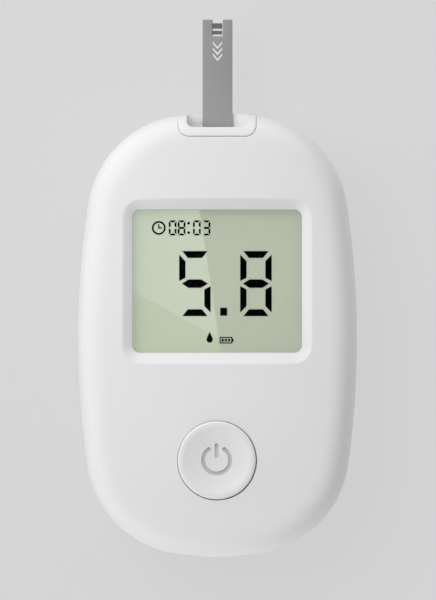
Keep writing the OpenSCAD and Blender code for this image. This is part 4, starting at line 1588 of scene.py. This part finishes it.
LIT_PARTS = {0: "abcdef", 3: "abgcd", 5: "afgcd", 8: "abcdefg"}


@dataclass(frozen=True)
class Figure:
    """A seven-segment figure and the shape of its strokes."""

    width: float
    height: float
    bar: float
    bar_insets: Point
    post: float
    post_drops: tuple[float, float, float, float]
    middle: float
    middle_insets: Point

    def outline(self, part: Part) -> list[Point]:
        """Follows a stroke round the figure's middle, anticlockwise.

        Args:
            part: The stroke.

        Returns:
            Its corners, in mm.
        """
        w, h = self.width / 2, self.height / 2
        outer, inner = self.bar_insets
        foot = h - self.bar
        level = [(w - outer, h), (outer - w, h), (inner - w, foot), (w - inner, foot)]
        out_top, in_top, in_low, out_low = self.post_drops
        inside = w - self.post
        upright = [(w, h - out_top), (inside, h - in_top), (inside, h - in_low), (w, h - out_low)]
        tip, flat = self.middle_insets
        half = self.middle / 2
        across = [
            (w - tip, 0.0), (w - flat, half), (flat - w, half),
            (tip - w, 0.0), (flat - w, -half), (w - flat, -half),
        ]
        points, flip_x, flip_y = {
            Part.TOP: (level, 1, 1), Part.BOTTOM: (level, 1, -1),
            Part.HIGH_RIGHT: (upright, 1, 1), Part.LOW_RIGHT: (upright, 1, -1),
            Part.HIGH_LEFT: (upright, -1, 1), Part.LOW_LEFT: (upright, -1, -1),
            Part.MIDDLE: (across, 1, 1),
        }[part]
        moved = [(x * flip_x, y * flip_y) for x, y in points]
        return moved if flip_x * flip_y > 0 else moved[::-1]


@dataclass
class Display(SubAssembly):
    """Window lens, segment figures and the layers behind them."""

    lens: RoundedBox = RoundedBox(0, 10.6, 36.4, 31.2, 0.8)
    lens_z: Point = (17.3, 18.1)
    lens_edge: float = 0.06
    ink_z: Point = (16.3, 16.34)
    large: Figure = Figure(
        6.19, 12.8, bar=1.36, bar_insets=(0.61, 1.71), post=1.24,
        post_drops=(0.71, 1.98, 5.26, 5.9), middle=1.66, middle_insets=(0.53, 1.83),
    )
    small: Figure = Figure(
        1.52, 2.96, bar=0.39, bar_insets=(0.13, 0.47), post=0.38,
        post_drops=(0.17, 0.52, 1.2, 1.39), middle=0.42, middle_insets=(0.14, 0.36),
    )
    large_y: float = 10.12
    large_figures: tuple[tuple[int, float], ...] = ((5, -4.4), (8, 7.6))
    point: RoundedBox = RoundedBox(1.26, 4.6, 1.37, 1.56, 0.04)
    clock_y: float = 21.07
    clock_figures: tuple[tuple[int, float], ...] = ((0, -8.78), (8, -7.02), (0, -4.02), (3, -2.12))
    colon_x: float = -5.63
    colon_gap: float = 0.92
    colon_radius: float = 0.27
    clock_sign: Point = (-11.5, 21.07)
    clock_sign_radius: float = 1.36
    clock_sign_stroke: float = 0.36
    clock_hands: tuple[RoundedBox, ...] = (
        RoundedBox(0, 0.3, 0.26, 0.86, 0.03), RoundedBox(0.25, 0, 0.76, 0.26, 0.03),
    )
    drop: Point = (-1.5, -0.85)
    drop_radius: float = 0.62
    drop_tip: float = 1.55
    battery: Point = (1.7, -1.0)
    # The four sides of the battery sign, its nub and its three bars
    battery_boxes: tuple[RoundedBox, ...] = (
        RoundedBox(-1.14, 0, 0.22, 1.3, 0.02), RoundedBox(0, -0.54, 2.1, 0.22, 0.02),
        RoundedBox(1.14, 0, 0.22, 1.3, 0.02), RoundedBox(0, 0.54, 2.1, 0.22, 0.02),
        RoundedBox(1.36, 0, 0.24, 0.6, 0.02), RoundedBox(-0.64, 0, 0.44, 0.52, 0.02),
        RoundedBox(-0.02, 0, 0.44, 0.52, 0.02), RoundedBox(0.6, 0, 0.44, 0.52, 0.02),
    )
    clear_layers: tuple[str, ...] = ("lcd_front_polariser", "lcd_front_glass")
    ground_layer: str = "lcd_rear_glass"

    def __post_init__(self) -> None:
        """Starts with no ink."""
        self.ink = Draft()

    def add_ink(self, corners: Sequence[Point]) -> None:
        """Adds one dark patch, as thick as the liquid crystal."""
        self.ink.add_rings([[(x, y, z) for x, y in corners] for z in self.ink_z])

    def add_boxes(self, boxes: Iterable[RoundedBox], middle: Point = (0, 0)) -> None:
        """Adds dark boxes whose places are given from a sign's middle."""
        for box in boxes:
            placed = replace(box, x=box.x + middle[0], y=box.y + middle[1])
            self.add_ink(placed.loop(0, math.inf))

    def add_clock(self) -> None:
        """Adds the clock face: a ring and two hands."""
        x, y = self.clock_sign
        outer = self.clock_sign_radius
        inner = outer - self.clock_sign_stroke
        turns = full_turn(64)
        for first, last in zip(turns, turns[1:] + turns[:1]):
            corners = ((outer, first), (outer, last), (inner, last), (inner, first))
            self.add_ink([(r * math.cos(a) + x, r * math.sin(a) + y) for r, a in corners])
        self.add_boxes(self.clock_hands, self.clock_sign)

    def add_drop(self) -> None:
        """Adds the drop: a tip, and a round belly that its flanks touch."""
        x, y = self.drop
        lean = math.asin(self.drop_radius / self.drop_tip)
        steps = 28
        turns = [lean - (math.pi + 2 * lean) * i / steps for i in range(steps + 1)]
        reach = self.drop_radius
        belly = [(x - reach * math.cos(a), y + reach * math.sin(a)) for a in turns]
        self.add_ink([(x, y + self.drop_tip), *belly])

    def build_lens(self) -> None:
        """Builds the lens, and lets scattered light through it and the clear layers."""
        low, high = self.lens_z
        edge = self.lens_edge
        draft = Draft()
        draft.add_stack(self.lens, [(-edge, low), (0, low + edge), (0, high - edge), (-edge, high)])
        lens = self.shop.place(
            "window_lens", draft, [Surface.CLEAR_ACRYLIC], "case", ["display_lens"]
        )
        for sheet in (lens, *(frame["nodes"][name] for name in self.clear_layers)):
            sheet.visible_diffuse = False
            sheet.visible_glossy = False
            sheet.visible_shadow = False

    def build(self) -> None:
        """Builds the lens and the figures, and dresses the ground behind them."""
        self.build_lens()
        rows = (
            (self.large, self.large_y, self.large_figures),
            (self.small, self.clock_y, self.clock_figures),
        )
        for figure, y, values in rows:
            for value, x in values:
                for letter in LIT_PARTS[value]:
                    self.add_ink([(px + x, py + y) for px, py in figure.outline(Part(letter))])
        self.add_boxes([self.point])
        for sign in (-1, 1):
            dot = Disc(self.colon_x, self.clock_y + sign * self.colon_gap, self.colon_radius)
            self.add_ink(dot.loop())
        self.add_clock()
        self.add_drop()
        self.add_boxes(self.battery_boxes, self.battery)
        self.shop.place(
            "segment_figures", self.ink, [Surface.SEGMENT_BLACK], "case", ["lcd_segments"]
        )
        # The ground's finish glows: painted light that evens out the shade near the window's walls
        for slot in frame["nodes"][self.ground_layer].material_slots:
            slot.material = self.shop.palette.get(Surface.GROUND)


# ---- back pieces


@dataclass
class BackPieces(SubAssembly):
    """Battery door, ejector thumb slider and the screws, all seen from the back."""

    shell: CaseShells
    door: RoundedBox = RoundedBox(0, -11.65, 25.4, 51.3, 3.0)
    door_thickness: float = 1.6
    door_edge: float = 0.25
    groove: RoundedBox = RoundedBox(0, 0, 9.0, 0.9, 0.44)
    groove_depth: float = 0.35
    groove_wall: float = 0.4
    groove_ys: tuple[float, ...] = (5.4, 7.0, 8.6, 10.2)
    tongue_x: float = 9.0
    tongue_half: float = 1.4
    # Each block of a tongue, by y and z of its lowest and its highest corner
    tongue: tuple[tuple[Point, Point], ...] = (
        ((-38.7, 1.8), (-36.4, 2.6)), ((-37.2, 1.4), (-36.4, 2.6)),
    )
    latch: tuple[Point, ...] = (
        (13.5, 0.02), (14.9, 0.02), (14.9, 4.4), (15.6, 4.4), (15.6, 0.4),
        (16.2, 0.4), (16.2, 5.1), (14.3, 5.1), (14.3, 1.6), (13.5, 1.6),
    )
    latch_half: float = 3.6
    pad: RoundedBox = RoundedBox(0, 21.7, 10.4, 8.0, 1.0)
    pad_z: Point = (0.6, 1.15)
    rib: RoundedBox = RoundedBox(0, 0, 8.4, 0.6, 0.28)
    rib_stops: tuple[Point, ...] = ((-0.22, 0.15), (-0.08, 0.19), (0, 0.3), (0, 0.75))
    rib_pitch: float = 1.4
    rib_count: int = 5
    screw_head_radius: float = 1.9
    screw_head_z: Point = (1.6, 3.0)
    screw_head_edge: float = 0.35
    screw_dome: float = 0.18
    screw_shank_radius: float = 0.95
    screw_end_z: float = 13.0
    screw_tip: float = 0.3
    screw_turn: float = 0.7
    thread_pitch: float = 0.5
    thread_depth: float = 0.22
    cross_share: float = 0.62
    cross_depth: float = 0.75
    cross_half: float = 0.2
    cross_taper: float = 0.05
    cross_wall: float = 0.5

    def door_outer(self, x: float, y: float) -> float:
        """Finds the height of the door's outer face, with its edge and grip grooves.

        Args:
            x: Across, in mm.
            y: Along, in mm.

        Returns:
            The height in mm.
        """
        height = lip(-self.door.away(x, y), self.door_edge)
        for groove_y in self.groove_ys:
            depth = -self.groove.away(x, y - groove_y)
            share = min(max(depth / self.groove_wall, 0.0), 1.0)
            height += self.groove_depth * share * (2 - share)
        return height

    def build_door(self) -> None:
        """Builds the battery door with its two tongues and its sprung latch."""
        plan = Plan()
        plan.add_shape(self.door, [0, -0.03, -0.08, -0.15, -self.door_edge, -0.6])
        for y in self.groove_ys:
            plan.add_shape(replace(self.groove, y=y), [0, -0.1, -0.2, -0.3, -self.groove_wall])
        plan.add_fill(2.5, (-12, -37, 12, 13), lambda x, y: self.door.away(x, y) < -1)
        points, triangles = plan.cut(lambda x, y: self.door.away(x, y) < 0)
        draft = Draft()
        outer = [self.door_outer(*p) for p in points]
        draft.add_slab(points, triangles, outer, [self.door_thickness] * len(points))
        half = self.tongue_half
        for middle in (-self.tongue_x, self.tongue_x):
            for low, high in self.tongue:
                draft.add_block((middle - half, *low), (middle + half, *high))
        ends = (-self.latch_half, self.latch_half)
        draft.add_rings([[(x, y, z) for y, z in self.latch] for x in ends])
        self.shop.place(
            "battery_door_panel", draft, [Surface.CASE_PLASTIC], "door", ["battery_door"]
        )

    def build_slider(self) -> None:
        """Builds the thumb slider's plate, with copies of one rib across it."""
        low, high = self.pad_z
        pad = Draft()
        pad.add_stack(self.pad, [(-0.2, low), (-0.06, low + 0.06), (0, low + 0.2), (0, high)])
        plate = finished_object("pad_plate", pad)
        rib = Draft()
        rib.add_stack(self.rib, self.rib_stops)
        first_y = self.pad.y - self.rib_pitch * (self.rib_count - 1) / 2
        places = [(0, first_y + i * self.rib_pitch, 0) for i in range(self.rib_count)]
        ribs = self.shop.copies("rib", rib, places, Surface.SLIDER_PLASTIC)
        joined = Draft()
        for mesh in (plate.data, ribs):
            joined.add_mesh(mesh)
        bpy.data.objects.remove(plate)
        self.shop.place(
            "ejector_thumb_slider", joined, [Surface.SLIDER_PLASTIC],
            "ejector", ["ejector_thumb_pad"],
        )

    def cross(self, x: float, y: float) -> float:
        """Finds how deep the cross recess of a screw is, whose arms widen inwards.

        Args:
            x: Across, in mm.
            y: Along, in mm.

        Returns:
            The depth in mm.
        """
        reach = self.screw_head_radius * self.cross_share
        near, far = sorted((abs(x), abs(y)))
        arm = self.cross_half + self.cross_taper * max(reach - far, 0)
        if near > arm or far > reach:
            return 0.0
        return self.cross_depth * min((reach - far) / self.cross_wall, 1.0)

    def head_outer(self, x: float, y: float) -> float:
        """Finds the height of the screw head's outer face.

        Args:
            x: Across, in mm.
            y: Along, in mm.

        Returns:
            The height in mm.
        """
        radius = math.hypot(x, y)
        dome = self.screw_dome * (radius / self.screw_head_radius) ** 2
        edge = lip(self.screw_head_radius - radius, self.screw_head_edge)
        return self.screw_head_z[0] + dome + edge + self.cross(x, y)

    def build_screws(self) -> None:
        """Builds the four case screws as copies of one, each left at another turn."""
        plan = Plan()
        head = Disc(0, 0, self.screw_head_radius)
        plan.add_shape(head, [0, -0.04, -0.1, -0.2, -self.screw_head_edge])
        long, wide = 2 * self.screw_head_radius * self.cross_share, 2 * self.cross_half
        for width, height in ((long, wide), (wide, long)):
            plan.add_shape(RoundedBox(0, 0, width, height, 0.03), [0.01, 0])
        plan.add_fill(0.16, (-1.5, -1.5, 1.5, 1.5), lambda x, y: math.hypot(x, y) < 1.5)
        points, triangles = plan.cut(lambda x, y: head.away(x, y) < 0)
        draft = Draft()
        top = self.screw_head_z[1]
        outer = [self.head_outer(*p) for p in points]
        draft.add_slab(points, triangles, outer, [top] * len(points))
        stops = [(0, top - 0.1)]
        z = top + 0.6
        while z < self.screw_end_z - self.thread_pitch:
            stops += [(-self.thread_depth, z), (0, z + self.thread_pitch / 2)]
            z += self.thread_pitch
        shank = Disc(0, 0, self.screw_shank_radius)
        draft.add_stack(shank, [*stops, (-self.screw_tip, self.screw_end_z)])
        places = [(x, y, 0) for x, y in self.shell.screw_places]
        mesh = self.shop.copies("screw", draft, places, Surface.SCREW_STEEL, self.screw_turn)
        self.shop.place("case_screw_set", mesh, [Surface.SCREW_STEEL], "case", ["case_screws"])

    def build(self) -> None:
        """Builds the door, the slider and the screws."""
        self.build_door()
        self.build_slider()
        self.build_screws()


# ---- batteries


@dataclass(frozen=True)
class Coil:
    """A wire wound along +Y from the origin: its turns, radii, length and wire, in mm."""

    turns: float
    first_radius: float
    last_radius: float
    length: float
    wire: float

    def mesh(self, shop: Workshop) -> Mesh:
        """Returns the wire as a mesh in metres, wound by the workshop's recipe."""
        return shop.coil.run(
            bpy.data.meshes.new("coil"), Turns=self.turns, Start_radius=self.first_radius * MM,
            End_radius=self.last_radius * MM, Length=self.length * MM,
            Wire_radius=self.wire * MM, Finish=shop.palette.get(Surface.SPRING_STEEL),
        )


@dataclass
class PowerPack(SubAssembly):
    """Two cells in the bay, with their coil contacts, and the ejector's spring."""

    cell_x: float = 5.35
    cell_z: float = 7.05
    cell_radius: float = 5.25
    cell_length: float = 44.5
    cell_nub: float = 0.8
    bay_y: Point = (-35.5, 12.9)
    contact: float = 0.4
    coil_turns: float = 4
    coil_radii: Point = (3.2, 2.0)
    coil_wire: float = 0.25
    return_turns: float = 7
    return_radius: float = 1.6
    return_wire: float = 0.2
    return_y: Point = (25.0, 35.5)
    return_z: float = 6.4
    ejector_travel: float = 6.0

    def cell(self) -> Draft:
        """Drafts one cell along +Y from the origin, flat end first.

        The sleeve is shrunk over the can's shoulders, and the ends are bare steel.

        Returns:
            The cell as a draft.
        """
        r, length = self.cell_radius, self.cell_length
        top = length - self.cell_nub
        steel = [(3.6, 0.0), (3.9, 0.12), (3.9, 0.4)]
        sleeve = [
            (3.9, 0.18), (r - 0.45, 0.02), (r - 0.12, 0.2), (r, 0.6), (r, top - 0.6),
            (r - 0.12, top - 0.2), (r - 0.45, top - 0.02), (3.4, top - 0.12),
        ]
        nub = [
            (3.4, top - 0.3), (3.2, top - 0.16), (2.0, top - 0.1), (1.9, top),
            (1.85, length - 0.12), (1.7, length),
        ]
        turns = full_turn(96)
        draft = Draft()
        for profile, slot in ((steel, 1), (sleeve, 0), (nub, 1)):
            rings = [[(r * math.cos(a), r * math.sin(a), z) for a in turns] for r, z in profile]
            draft.add_rings(rings, slot)
        return draft.turned(Matrix.Rotation(-math.pi / 2, 4, "X"))

    def build_cells(self) -> None:
        """Builds both cells, with their nubs at opposite ends."""
        low, high = self.bay_y
        depth = self.contact + self.cell_length
        finishes = [Surface.CELL_SLEEVE, Surface.SCREW_STEEL]
        for side, x, y, turn in (
            ("left", -self.cell_x, high - depth, 0.0), ("right", self.cell_x, low + depth, math.pi)
        ):
            move = Matrix.Translation((x, y, self.cell_z)) @ Matrix.Rotation(turn, 4, "Z")
            cell = self.cell().turned(move)
            self.shop.place(f"{side}_cell", cell, finishes, "case", [f"cell_{side}"])

    def place_coil(
        self, name: str, coil: Coil, start: Spot, node: str, turn: float = 0.0
    ) -> Object:
        """Builds a spring on the case.

        Args:
            name: The piece's name.
            coil: Its shape.
            start: Where its axis starts, in mm.
            node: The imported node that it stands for.
            turn: Its turn about Z, in radians.

        Returns:
            The piece.
        """
        mesh = coil.mesh(self.shop)
        place = Matrix.Translation([c * MM for c in start])
        mesh.transform(place @ Matrix.Rotation(turn, 4, "Z"))
        return self.shop.place(name, mesh, [Surface.SPRING_STEEL], "case", [node])

    def build_springs(self) -> None:
        """Builds the two contact springs and the ejector's return spring."""
        low, high = self.bay_y
        end = self.contact + self.coil_wire
        length = high - low - self.cell_length - 2 * end
        coil = Coil(self.coil_turns, *self.coil_radii, length, self.coil_wire)
        for side, node, y, turn in (
            (-1, "cell_link_spring", low + end, 0.0), (1, "cell_minus_spring", high - end, math.pi)
        ):
            start = (side * self.cell_x, y, self.cell_z)
            self.place_coil(node + "_coil", coil, start, node, turn)
        first, last = self.return_y
        room, wire, radius = last - first, self.return_wire, self.return_radius
        coil = Coil(self.return_turns, radius, radius, room - 2 * wire, wire)
        start = (0, first + wire, self.return_z)
        spring = self.place_coil("ejector_return_spring", coil, start, "ejector_spring")
        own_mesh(spring)

    def build(self) -> None:
        """Builds the cells and the springs."""
        self.build_cells()
        self.build_springs()


# ---- test strip


@dataclass
class TestStrip(SubAssembly):
    """The test strip: base film, printed traces, cover tape and its arrowheads."""

    base: RoundedBox = RoundedBox(0, 46.5, 5.9, 31.4, 0.25)
    base_z: Point = (10.4, 10.65)
    ink_z: Point = (10.65, 10.68)
    cover: RoundedBox = RoundedBox(0, 49.85, 5.9, 24.7, 0.25)
    cover_z: Point = (10.68, 10.9)
    cover_edge: float = 0.05
    notch: RoundedBox = RoundedBox(0, 61.9, 2.1, 6.0, 0.2)
    trace: RoundedBox = RoundedBox(0, 34.55, 0.9, 6.7, 0.1)
    trace_pitch: float = 1.4
    trace_count: int = 4
    bars: tuple[RoundedBox, ...] = (
        RoundedBox(-0.08, 60.95, 1.96, 1.06, 0.02), RoundedBox(-0.08, 59.64, 1.96, 0.7, 0.02),
    )
    arrow_ys: tuple[float, ...] = (56.4, 55.22, 54.06)
    arrow_half: float = 0.93
    arrow_height: float = 1.1
    arrow_stroke: float = 0.24
    arrow_z: Point = (10.89, 10.912)

    def build_base(self) -> None:
        """Builds the base film."""
        low, high = self.base_z
        draft = Draft()
        draft.add_stack(self.base, [(-0.03, low), (0, low + 0.03), (0, high - 0.02), (-0.02, high)])
        self.shop.place("strip_base_film", draft, [Surface.STRIP_FILM], "strip", ["strip_base"])

    def build_cover(self) -> None:
        """Builds the cover tape with its sample notch."""
        low, high = self.cover_z
        plan = Plan()
        plan.add_shape(self.cover, [0, -0.015, -0.03, -self.cover_edge])
        plan.add_shape(self.notch, [0, 0.015, 0.03, self.cover_edge])
        points, triangles = plan.cut(
            lambda x, y: self.cover.away(x, y) < 0 and self.notch.away(x, y) > 0
        )
        heights = [
            high - lip(-self.cover.away(*p), self.cover_edge)
            - lip(self.notch.away(*p), self.cover_edge)
            for p in points
        ]
        draft = Draft()
        draft.add_slab(points, triangles, [low] * len(points), heights)
        self.shop.place("strip_cover_film", draft, [Surface.STRIP_TAPE], "strip", ["strip_cover"])

    def build_traces(self) -> None:
        """Builds the carbon traces at the inner end and the bars in the notch."""
        stops = [(0, z) for z in self.ink_z]
        trace, draft = Draft(), Draft()
        trace.add_stack(self.trace, stops)
        middle = (self.trace_count - 1) / 2
        places = [((i - middle) * self.trace_pitch, 0, 0) for i in range(self.trace_count)]
        draft.add_mesh(self.shop.copies("trace", trace, places, Surface.STRIP_CARBON))
        for bar in self.bars:
            draft.add_stack(bar, stops)
        self.shop.place(
            "strip_printed_traces", draft, [Surface.STRIP_CARBON], "strip", ["strip_electrodes"]
        )

    def build_arrows(self) -> None:
        """Builds the white arrowheads that point into the port."""
        half, height, stroke = self.arrow_half, self.arrow_height, self.arrow_stroke
        rise = stroke * math.hypot(half, height) / half
        foot, tip = (0, 0), (0, rise)
        right = [(half, height), (half, height + rise)]
        left = [(-half, height + rise), (-half, height)]
        arrow = Draft()
        # Each half is a convex face, so that the bend closes properly.
        for side in ([foot, *right, tip], [foot, tip, *left]):
            arrow.add_rings([[(x, y, z) for x, y in side] for z in self.arrow_z])
        places = [(0, y, 0) for y in self.arrow_ys]
        mesh = self.shop.copies("arrow", arrow, places, Surface.ARROW)
        self.shop.place("strip_arrowheads", mesh, [Surface.ARROW], "strip", slot="strip_tape")

    def build(self) -> None:
        """Builds the films, the traces and the arrowheads."""
        self.build_base()
        self.build_cover()
        self.build_traces()
        self.build_arrows()


# ---- stage


@dataclass(frozen=True)
class Lamp:
    """A soft square lamp, which isn't seen itself.

    Its place and its side are in mm, and its power is in watts.
    """

    name: str
    place: Spot
    side: float
    power: float

    def build(self, target: Spot, spared: Object | None = None) -> None:
        """Builds the lamp.

        Args:
            target: What it points at, in mm.
            spared: An object that it doesn't light, as a flag beside a lamp does.
        """
        data = bpy.data.lights.new(self.name, "AREA")
        data.shape = "SQUARE"
        data.size = self.side * MM
        data.energy = self.power
        lamp = scene_object(self.name, data)
        place = Vector(self.place)
        turn = (Vector(target) - place).to_track_quat("-Z", "Y").to_matrix().to_4x4()
        lamp.matrix_world = Matrix.Translation(place * MM) @ turn
        lamp.visible_camera = False
        lamp.visible_glossy = False
        if spared is not None:
            flagged = bpy.data.collections.new(f"{self.name}_flag")
            flagged.objects.link(spared)
            flagged.collection_objects[0].light_linking.link_state = "EXCLUDE"
            lamp.light_linking.receiver_collection = flagged


@dataclass
class Studio:
    """Camera, floor, sky, lamps and the cards that the display mirrors."""

    picture: Point = (436, 600)
    pixels_per_mm: float = 5.08
    centre: Spot = (0.12, 6.9, 14.0)
    sensor: float = 36.0
    lens: float = 500.0
    yaw: float = 0.5
    paper: str = "#E2E2E2"
    backdrop: str = "#D7D7D7"
    steadiness: float = 0.85  # share of the even backdrop in the floor that is seen
    floor_reach: float = 3000.0
    display_z: float = 16.3
    # Picture points of the slanted and the curved edge of the glare on the display
    slant: tuple[Point, Point] = ((199.3, 209.0), (221.2, 354.0))
    curve: tuple[Point, ...] = (
        (131.0, 290.5), (150.0, 300.2), (170.0, 311.0), (196.7, 326.3), (218.9, 339.0),
    )
    outer: tuple[Point, Point] = ((125.0, 200.0), (125.0, 360.0))
    card_height: float = 150.0  # above the camera, in mm
    sky: float = 1.18
    sky_slope: Spot = (-0.18, 0.49, -0.91)
    key: Lamp = Lamp("key_lamp", (-95, 78, 180), 130, 0.175)
    low_fill: Lamp = Lamp("low_fill_lamp", (-40, -230, 50), 120, 0.213)

    def camera_place(self) -> Vector:
        """Returns where the camera stands, in mm."""
        distance = self.picture[1] / self.pixels_per_mm * self.lens / self.sensor
        yaw = math.radians(self.yaw)
        return Vector(self.centre) + distance * Vector((math.sin(yaw), 0, math.cos(yaw)))

    def build_camera(self) -> None:
        """Builds the camera that looks down on the display."""
        data = bpy.data.cameras.new("camera")
        data.sensor_width = self.sensor
        data.lens = self.lens
        data.clip_start, data.clip_end = 0.01, 20
        camera = scene_object("camera", data)
        turn = Matrix.Rotation(math.radians(self.yaw), 4, "Y")
        camera.matrix_world = Matrix.Translation(self.camera_place() * MM) @ turn
        bpy.context.scene.camera = camera

    def mirrored(self, pixel: Point, height: float) -> Vector:
        """Finds what the camera sees mirrored by the display at a picture point.

        Args:
            pixel: The picture point, from the top left.
            height: Height of the plane on which the mirrored place is wanted, in mm.

        Returns:
            That place, in mm.
        """
        yaw = math.radians(self.yaw)
        right = Vector((math.cos(yaw), 0, -math.sin(yaw)))
        across = (pixel[0] - self.picture[0] / 2) / self.pixels_per_mm
        up = (self.picture[1] / 2 - pixel[1]) / self.pixels_per_mm
        eye = self.camera_place()
        ray = Vector(self.centre) + right * across + Vector((0, up, 0)) - eye
        spot = eye + ray * ((self.display_z - eye.z) / ray.z)
        ray.z = -ray.z
        return spot + ray * ((height - spot.z) / ray.z)

    def build_card(self, name: str, pixels: Sequence[Point], colour: str, strength: float) -> None:
        """Builds a bright card that only the display's mirror shows.

        Args:
            name: The card's name.
            pixels: Picture points where the display shows its corners.
            colour: Its colour.
            strength: How bright it is.
        """
        high = self.camera_place().z + self.card_height
        corners = [self.mirrored(pixel, high) for pixel in pixels]
        card = scene_object(name, mesh_of(name, corners, [range(len(corners))]))
        material = blank_material(name)
        tree = material.node_tree
        glow = add_node(tree, "ShaderNodeEmission", {"Color": linear(colour), "Strength": strength})
        add_node(tree, "ShaderNodeOutputMaterial", {"Surface": glow})
        card.data.materials.append(material)
        card.visible_camera = False
        card.visible_diffuse = False
        card.visible_shadow = False

    def build_glare(self) -> None:
        """Builds the two cards whose edges cross the display."""
        top, bottom = self.slant
        far_top, far_bottom = self.outer
        self.build_card("glare_card_high", [far_top, *self.curve, top], "#F1FFF6", 1.82)
        self.build_card("glare_card_low", [*self.curve, bottom, far_bottom], "#EDFFE0", 1.34)

    def build_floor(self) -> Object:
        """Builds a plain pale floor that can't be seen from below.

        The camera sees it partly as an even backdrop, so that its shadows stay soft.

        Returns:
            The floor.
        """
        corners = [(x * self.floor_reach, y * self.floor_reach, 0) for x, y in SQUARE]
        floor = scene_object("floor", mesh_of("floor", corners, [range(len(corners))]))
        material = blank_material("floor_paper")
        tree = material.node_tree
        paper = add_node(
            tree, "ShaderNodeBsdfPrincipled",
            {"Base Color": linear(self.paper), "Roughness": 0.8, "Specular IOR Level": 0.2},
        )
        even = add_node(tree, "ShaderNodeEmission", {"Color": linear(self.backdrop)})
        share = add_node(
            tree, "ShaderNodeMath", {0: self.is_seen(tree), 1: self.steadiness},
            operation="MULTIPLY",
        )
        above = add_node(tree, "ShaderNodeMixShader", {0: share, 1: paper, 2: even})
        below = add_node(tree, "ShaderNodeNewGeometry", out="Backfacing")
        clear = add_node(tree, "ShaderNodeBsdfTransparent")
        surface = add_node(tree, "ShaderNodeMixShader", {0: below, 1: above, 2: clear})
        add_node(tree, "ShaderNodeOutputMaterial", {"Surface": surface})
        floor.data.materials.append(material)
        return floor

    @staticmethod
    def is_seen(tree: NodeTree) -> NodeSocket:
        """Finds the rays by which the picture or a mirror shows the background.

        Args:
            tree: The node tree.

        Returns:
            The socket that is 1 for such rays.
        """
        ray = add_node(tree, "ShaderNodeLightPath").node.outputs
        mirror = add_node(
            tree, "ShaderNodeMath",
            {0: ray["Is Glossy Ray"], 1: ray["Is Transmission Ray"]}, operation="MAXIMUM",
        )
        return add_node(
            tree, "ShaderNodeMath", {0: ray["Is Camera Ray"], 1: mirror}, operation="MAXIMUM"
        )

    def build_world(self) -> None:
        """Builds a sky that is brighter on the lamp's side, and even to the camera."""
        world = bpy.data.worlds.new("studio")
        world.use_nodes = True
        tree = world.node_tree
        tree.nodes.clear()
        direction = add_node(tree, "ShaderNodeTexCoord", out="Generated")
        lean = add_node(
            tree, "ShaderNodeVectorMath", {0: direction, 1: self.sky_slope}, "Value",
            operation="DOT_PRODUCT",
        )
        strength = add_node(tree, "ShaderNodeMath", {0: lean, 1: self.sky}, operation="ADD")
        sky = add_node(
            tree, "ShaderNodeBackground", {"Color": linear("#FFFFFF"), "Strength": strength}
        )
        even = add_node(tree, "ShaderNodeBackground", {"Color": linear(self.backdrop)})
        mixed = add_node(tree, "ShaderNodeMixShader", {0: self.is_seen(tree), 1: sky, 2: even})
        add_node(tree, "ShaderNodeOutputWorld", {"Surface": mixed})
        bpy.context.scene.world = world

    def build(self) -> None:
        """Builds the whole stage."""
        self.build_camera()
        floor = self.build_floor()
        self.build_world()
        self.build_glare()
        self.key.build(self.centre)
        self.low_fill.build(self.centre, spared=floor)
        bpy.context.scene.view_settings.view_transform = "Standard"


def main() -> None:
    """Builds the stage and the meter."""
    logging.basicConfig(level=logging.INFO, format="%(message)s")
    Studio().build()
    shop = Workshop()
    shop.palette.dress_nodes(frame["record"], frame["nodes"])
    shell = CaseShells(shop)
    assemblies = (
        shell, StripPort(shop, shell), RoundButton(shop), Display(shop),
        BackPieces(shop, shell), PowerPack(shop), TestStrip(shop),
    )
    for assembly in assemblies:
        assembly.build()


if __name__ == "__main__":
    main()
